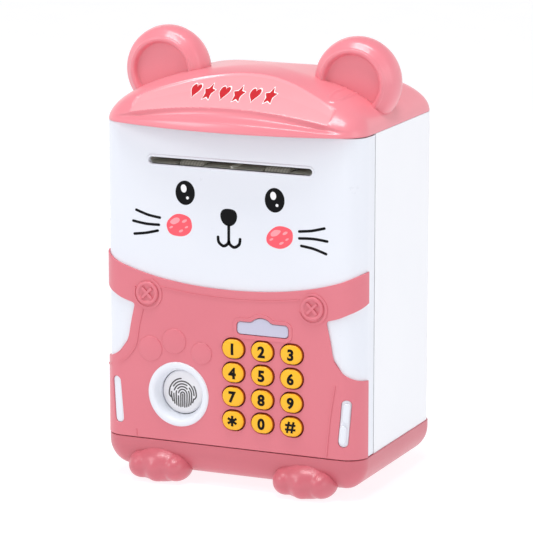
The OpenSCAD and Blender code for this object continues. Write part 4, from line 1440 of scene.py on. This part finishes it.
# %% Pocket inserts
def pocket_bar(side, shift, up, length, width):
    """A rounded bar that lies along a pocket: shift across it, up along it."""
    def ring(grow, out):
        bar = oval(up, shift, length + 2 * grow, width + 2 * grow, 10)
        return [(s, -out, z) for s, z in in_pocket(side, bar)]

    return solid("bar", *skin([ring(0, 0.0), ring(0, 0.9), ring(-0.25, 1.25), ring(-0.8, 1.4)]), white)


def insert(side):
    def ring(grow, out):
        return [(s, -out, z) for s, z in pocket_outline(side, grow)]

    return solid("floor", *skin([ring(-0.12, -0.1), ring(-0.12, 0.3), ring(-0.3, 0.45)]), white)


def make_inserts():
    parts = [insert(-1), insert(1), pocket_bar(1, -0.2, 5.0, 9.6, 3.0), pocket_bar(1, 0.5, -5.4, 9.0, 3.2)]
    made = join("pocket_inserts", *parts)
    slit(made.data, BEND_LINES)
    wrap(made.data)
    clean(made.data)
    return smooth(made, 40)


place(make_inserts(), "door", "white_shell")

# %% [markdown]
# ## Paws
# A paw is a soft lump with three toes. Ellipsoids are a natural start. A voxel remesh fuses them and a few
# rounds of smoothing leave shallow grooves between the toes, which no bevel would give.


# %% Fuse and smooth the paws
VOXEL = 0.55


def ball(centre, size):
    work = bmesh.new()
    where = Matrix.Scale(MM, 4) @ Matrix.Translation(Vector(centre)) @ Matrix.Diagonal((*size, 1.0))
    bmesh.ops.create_uvsphere(work, u_segments=40, v_segments=24, radius=1.0, matrix=where)
    mesh = bpy.data.meshes.new("ball")
    work.to_mesh(mesh)
    work.free()
    return linked("ball", mesh)


def make_paw(node):
    low, high = corners(node)
    cx, z0 = (low.x + high.x) / 2, low.z
    w, front = high.x - low.x, low.y
    lumps = [ball((cx, front + 15.6, z0 + 7.9), (w * 0.47, 14.6, 9.6)),
             ball((cx, front + 8.4, z0 + 6.7), (w * 0.2, 8.4, 6.9))]
    lumps += [ball((cx + way * w * 0.28, front + 11.3, z0 + 7.2), (w * 0.215, 10.2, 6.9)) for way in (-1, 1)]
    paw = join(node + "_piece", *lumps)
    remesh = paw.modifiers.new("fuse", "REMESH")
    remesh.mode = "VOXEL"
    remesh.voxel_size = VOXEL * MM
    relax = paw.modifiers.new("relax", "SMOOTH")
    relax.factor = 0.5
    relax.iterations = 12
    finish_mesh(paw)
    # painted shade: the paws take the deeper copy of the pink
    paw.data.materials.clear()
    paw.data.materials.append(pink_shaded)
    for vertex in paw.data.vertices:
        vertex.co.y = min(vertex.co.y, high.y * MM)
        vertex.co.z = max(vertex.co.z, z0 * MM)
    clean(paw.data, 0.02)
    paw.data.shade_smooth()
    return place(paw, "case", "pink_shell", node)


for side in ("left", "right"):
    make_paw("paw_" + side)

# %% [markdown]
# ## The motif on the cap
# A row of hearts and stars is printed on the crescent. Each sign is drawn flat, once in pale ink and a
# little larger, once in red, and every point is then dropped straight back onto the cap.


# %% Hearts and stars
def heart(x, z, size, grow=0.0):
    made = []
    for k in range(44):
        t = 2 * math.pi * k / 44
        u = 16 * math.sin(t) ** 3 / 17
        v = (13 * math.cos(t) - 5 * math.cos(2 * t) - 2 * math.cos(3 * t) - math.cos(4 * t) + 2.5) / 17
        k_size = size / 2 + grow
        made.append((x + u * k_size, z + v * k_size))
    return list(reversed(made))


def star(x, z, size, grow=0.0):
    corner = []
    for k in range(10):
        a = math.radians(90 + 36 * k)
        r = (size / 2 if k % 2 == 0 else size / 4.1) + grow
        corner.append((x + r * math.cos(a), z + r * math.sin(a)))
    return rounded(corner, 0.22 * size / 4, 3, closed=True)


def on_cap(outline, low, high, material):
    """A patch of ink that follows the cap's front between two heights above its surface. It leans a little,
    so that it stands upright as the camera sees it."""
    count = len(outline)
    middle = (sum(x for x, z in outline) / count, sum(z for x, z in outline) / count)

    def drop(x, z, out):
        x -= MOTIF_LEAN * (z - middle[1])
        hit = cap_tree.ray_cast(Vector((x, y_face - 40, z)) * MM, Vector((0, 1, 0)))
        spot, normal = hit[0], hit[1]
        if normal.y > 0:
            normal = -normal
        return tuple((spot + normal * out * MM) / MM)

    rings = []
    for share, out in ((1.0, low), (1.0, high), (0.66, high), (0.33, high)):
        rings.append([drop(middle[0] + (x - middle[0]) * share, middle[1] + (z - middle[1]) * share, out)
                      for x, z in outline])
    points, faces = skin(rings, first_cap=False, last_cap=False)
    top, base = len(points), len(points) + 1
    points += [drop(*middle, high), drop(*middle, low)]
    last = 3 * count
    faces += [(last + k, last + (k + 1) % count, top) for k in range(count)]
    faces += [((k + 1) % count, k, base) for k in range(count)]
    return solid("sign", points, faces, material)


MOTIF_X, MOTIF_STEP, MOTIF_Z = -21.0, 7.6, z_cap + 15.4
MOTIF_LEAN, HEART, STAR = 0.3, 5.2, 5.9
signs = []
for k in range(6):
    x = MOTIF_X + MOTIF_STEP * k
    shape, size = (heart, HEART) if k % 2 == 0 else (star, STAR)
    signs.append(on_cap(shape(x, MOTIF_Z, size, 0.45), -0.1, 0.05, white_ink))
    signs.append(on_cap(shape(x, MOTIF_Z, size), 0.0, 0.12, red_ink))
motif = join("cap_motif", *signs)
motif.data.shade_smooth()
motif.data.set_sharp_from_angle(angle=math.radians(40))
place(motif, "case", "led_red")

# %% [markdown]
# ## Floor, light and camera
# A product shot: a pale floor that runs out to the horizon, one broad soft light high on the left, a weaker
# one on the right, one above, and a sky that is bright along the horizon and greyer overhead. The camera looks down a
# little from the front right.

# %% The stage
def sky_gradient(tree, background):
    """A sky that is white along the horizon and greyer overhead, so that the lamps can shape the object."""
    where = tree.nodes.new("ShaderNodeTexCoord")
    split = fill(tree, tree.nodes.new("ShaderNodeSeparateXYZ"), Vector=where.outputs["Generated"])
    ramp = tree.nodes.new("ShaderNodeMapRange")
    ramp.interpolation_type = "SMOOTHSTEP"
    fill(tree, ramp, Value=split.outputs["Z"], From_Min=0.22, From_Max=0.6, To_Min=HORIZON, To_Max=OVERHEAD)
    fill(tree, background, Color=(1.0, 1.0, 1.0, 1.0), Strength=ramp.outputs["Result"])


def make_stage():
    paper = finish("floor_paper", (150, 150, 151), (147, 147, 149), 0.9, bump=0.02, glow=FLOOR_GLOW)
    reach = 6000
    floor = solid("floor", [(-reach, -reach, 0), (reach, -reach, 0), (reach, reach, 0), (-reach, reach, 0)],
                  [(0, 1, 2, 3)], paper)
    world = bpy.data.worlds.new("soft_sky")
    world.use_nodes = True
    sky_gradient(world.node_tree, world.node_tree.nodes["Background"])
    bpy.context.scene.world = world
    bpy.context.scene.view_settings.view_transform = "Standard"


def softbox(name, spot, size, power):
    """A lamp at a spot in metres, turned towards the middle of the object."""
    data = bpy.data.lights.new(name, "AREA")
    data.shape = "RECTANGLE"
    data.size, data.size_y = size
    data.energy = power
    lamp = linked(name, data)
    lamp.location = spot
    lamp.rotation_euler = (Vector((0, 0, 0.1)) - Vector(spot)).to_track_quat("-Z", "Y").to_euler()


HORIZON, OVERHEAD, FLOOR_GLOW = 1.0, 0.3, 2.75    # strength of the sky low down and high up, and of the floor
make_stage()
softbox("key_left", (-0.75, -0.75, 0.95), (0.4, 0.4), 3.4)
softbox("fill_right", (1.0, -0.25, 0.5), (0.5, 0.7), 1.5)
softbox("top", (0.0, -0.2, 1.1), (0.6, 0.3), 6.5)
print("lights:", len(bpy.data.lights))

# %% The camera
AZIMUTH, ELEVATION, DISTANCE, LENS = 23.8, 12.1, 1.56, 223.5
aim = Vector((0.0003, 0, 0.0982))
azimuth, elevation = math.radians(AZIMUTH), math.radians(ELEVATION)
back_way = Vector((math.sin(azimuth) * math.cos(elevation), -math.cos(azimuth) * math.cos(elevation),
                   math.sin(elevation)))
camera = linked("camera", bpy.data.cameras.new("camera"))
camera.data.lens = LENS
camera.data.sensor_width = 36
camera.location = aim + back_way * DISTANCE
camera.rotation_euler = (-back_way).to_track_quat("-Z", "Y").to_euler()
bpy.context.scene.camera = camera
print("camera at", tuple(round(v, 3) for v in camera.location))
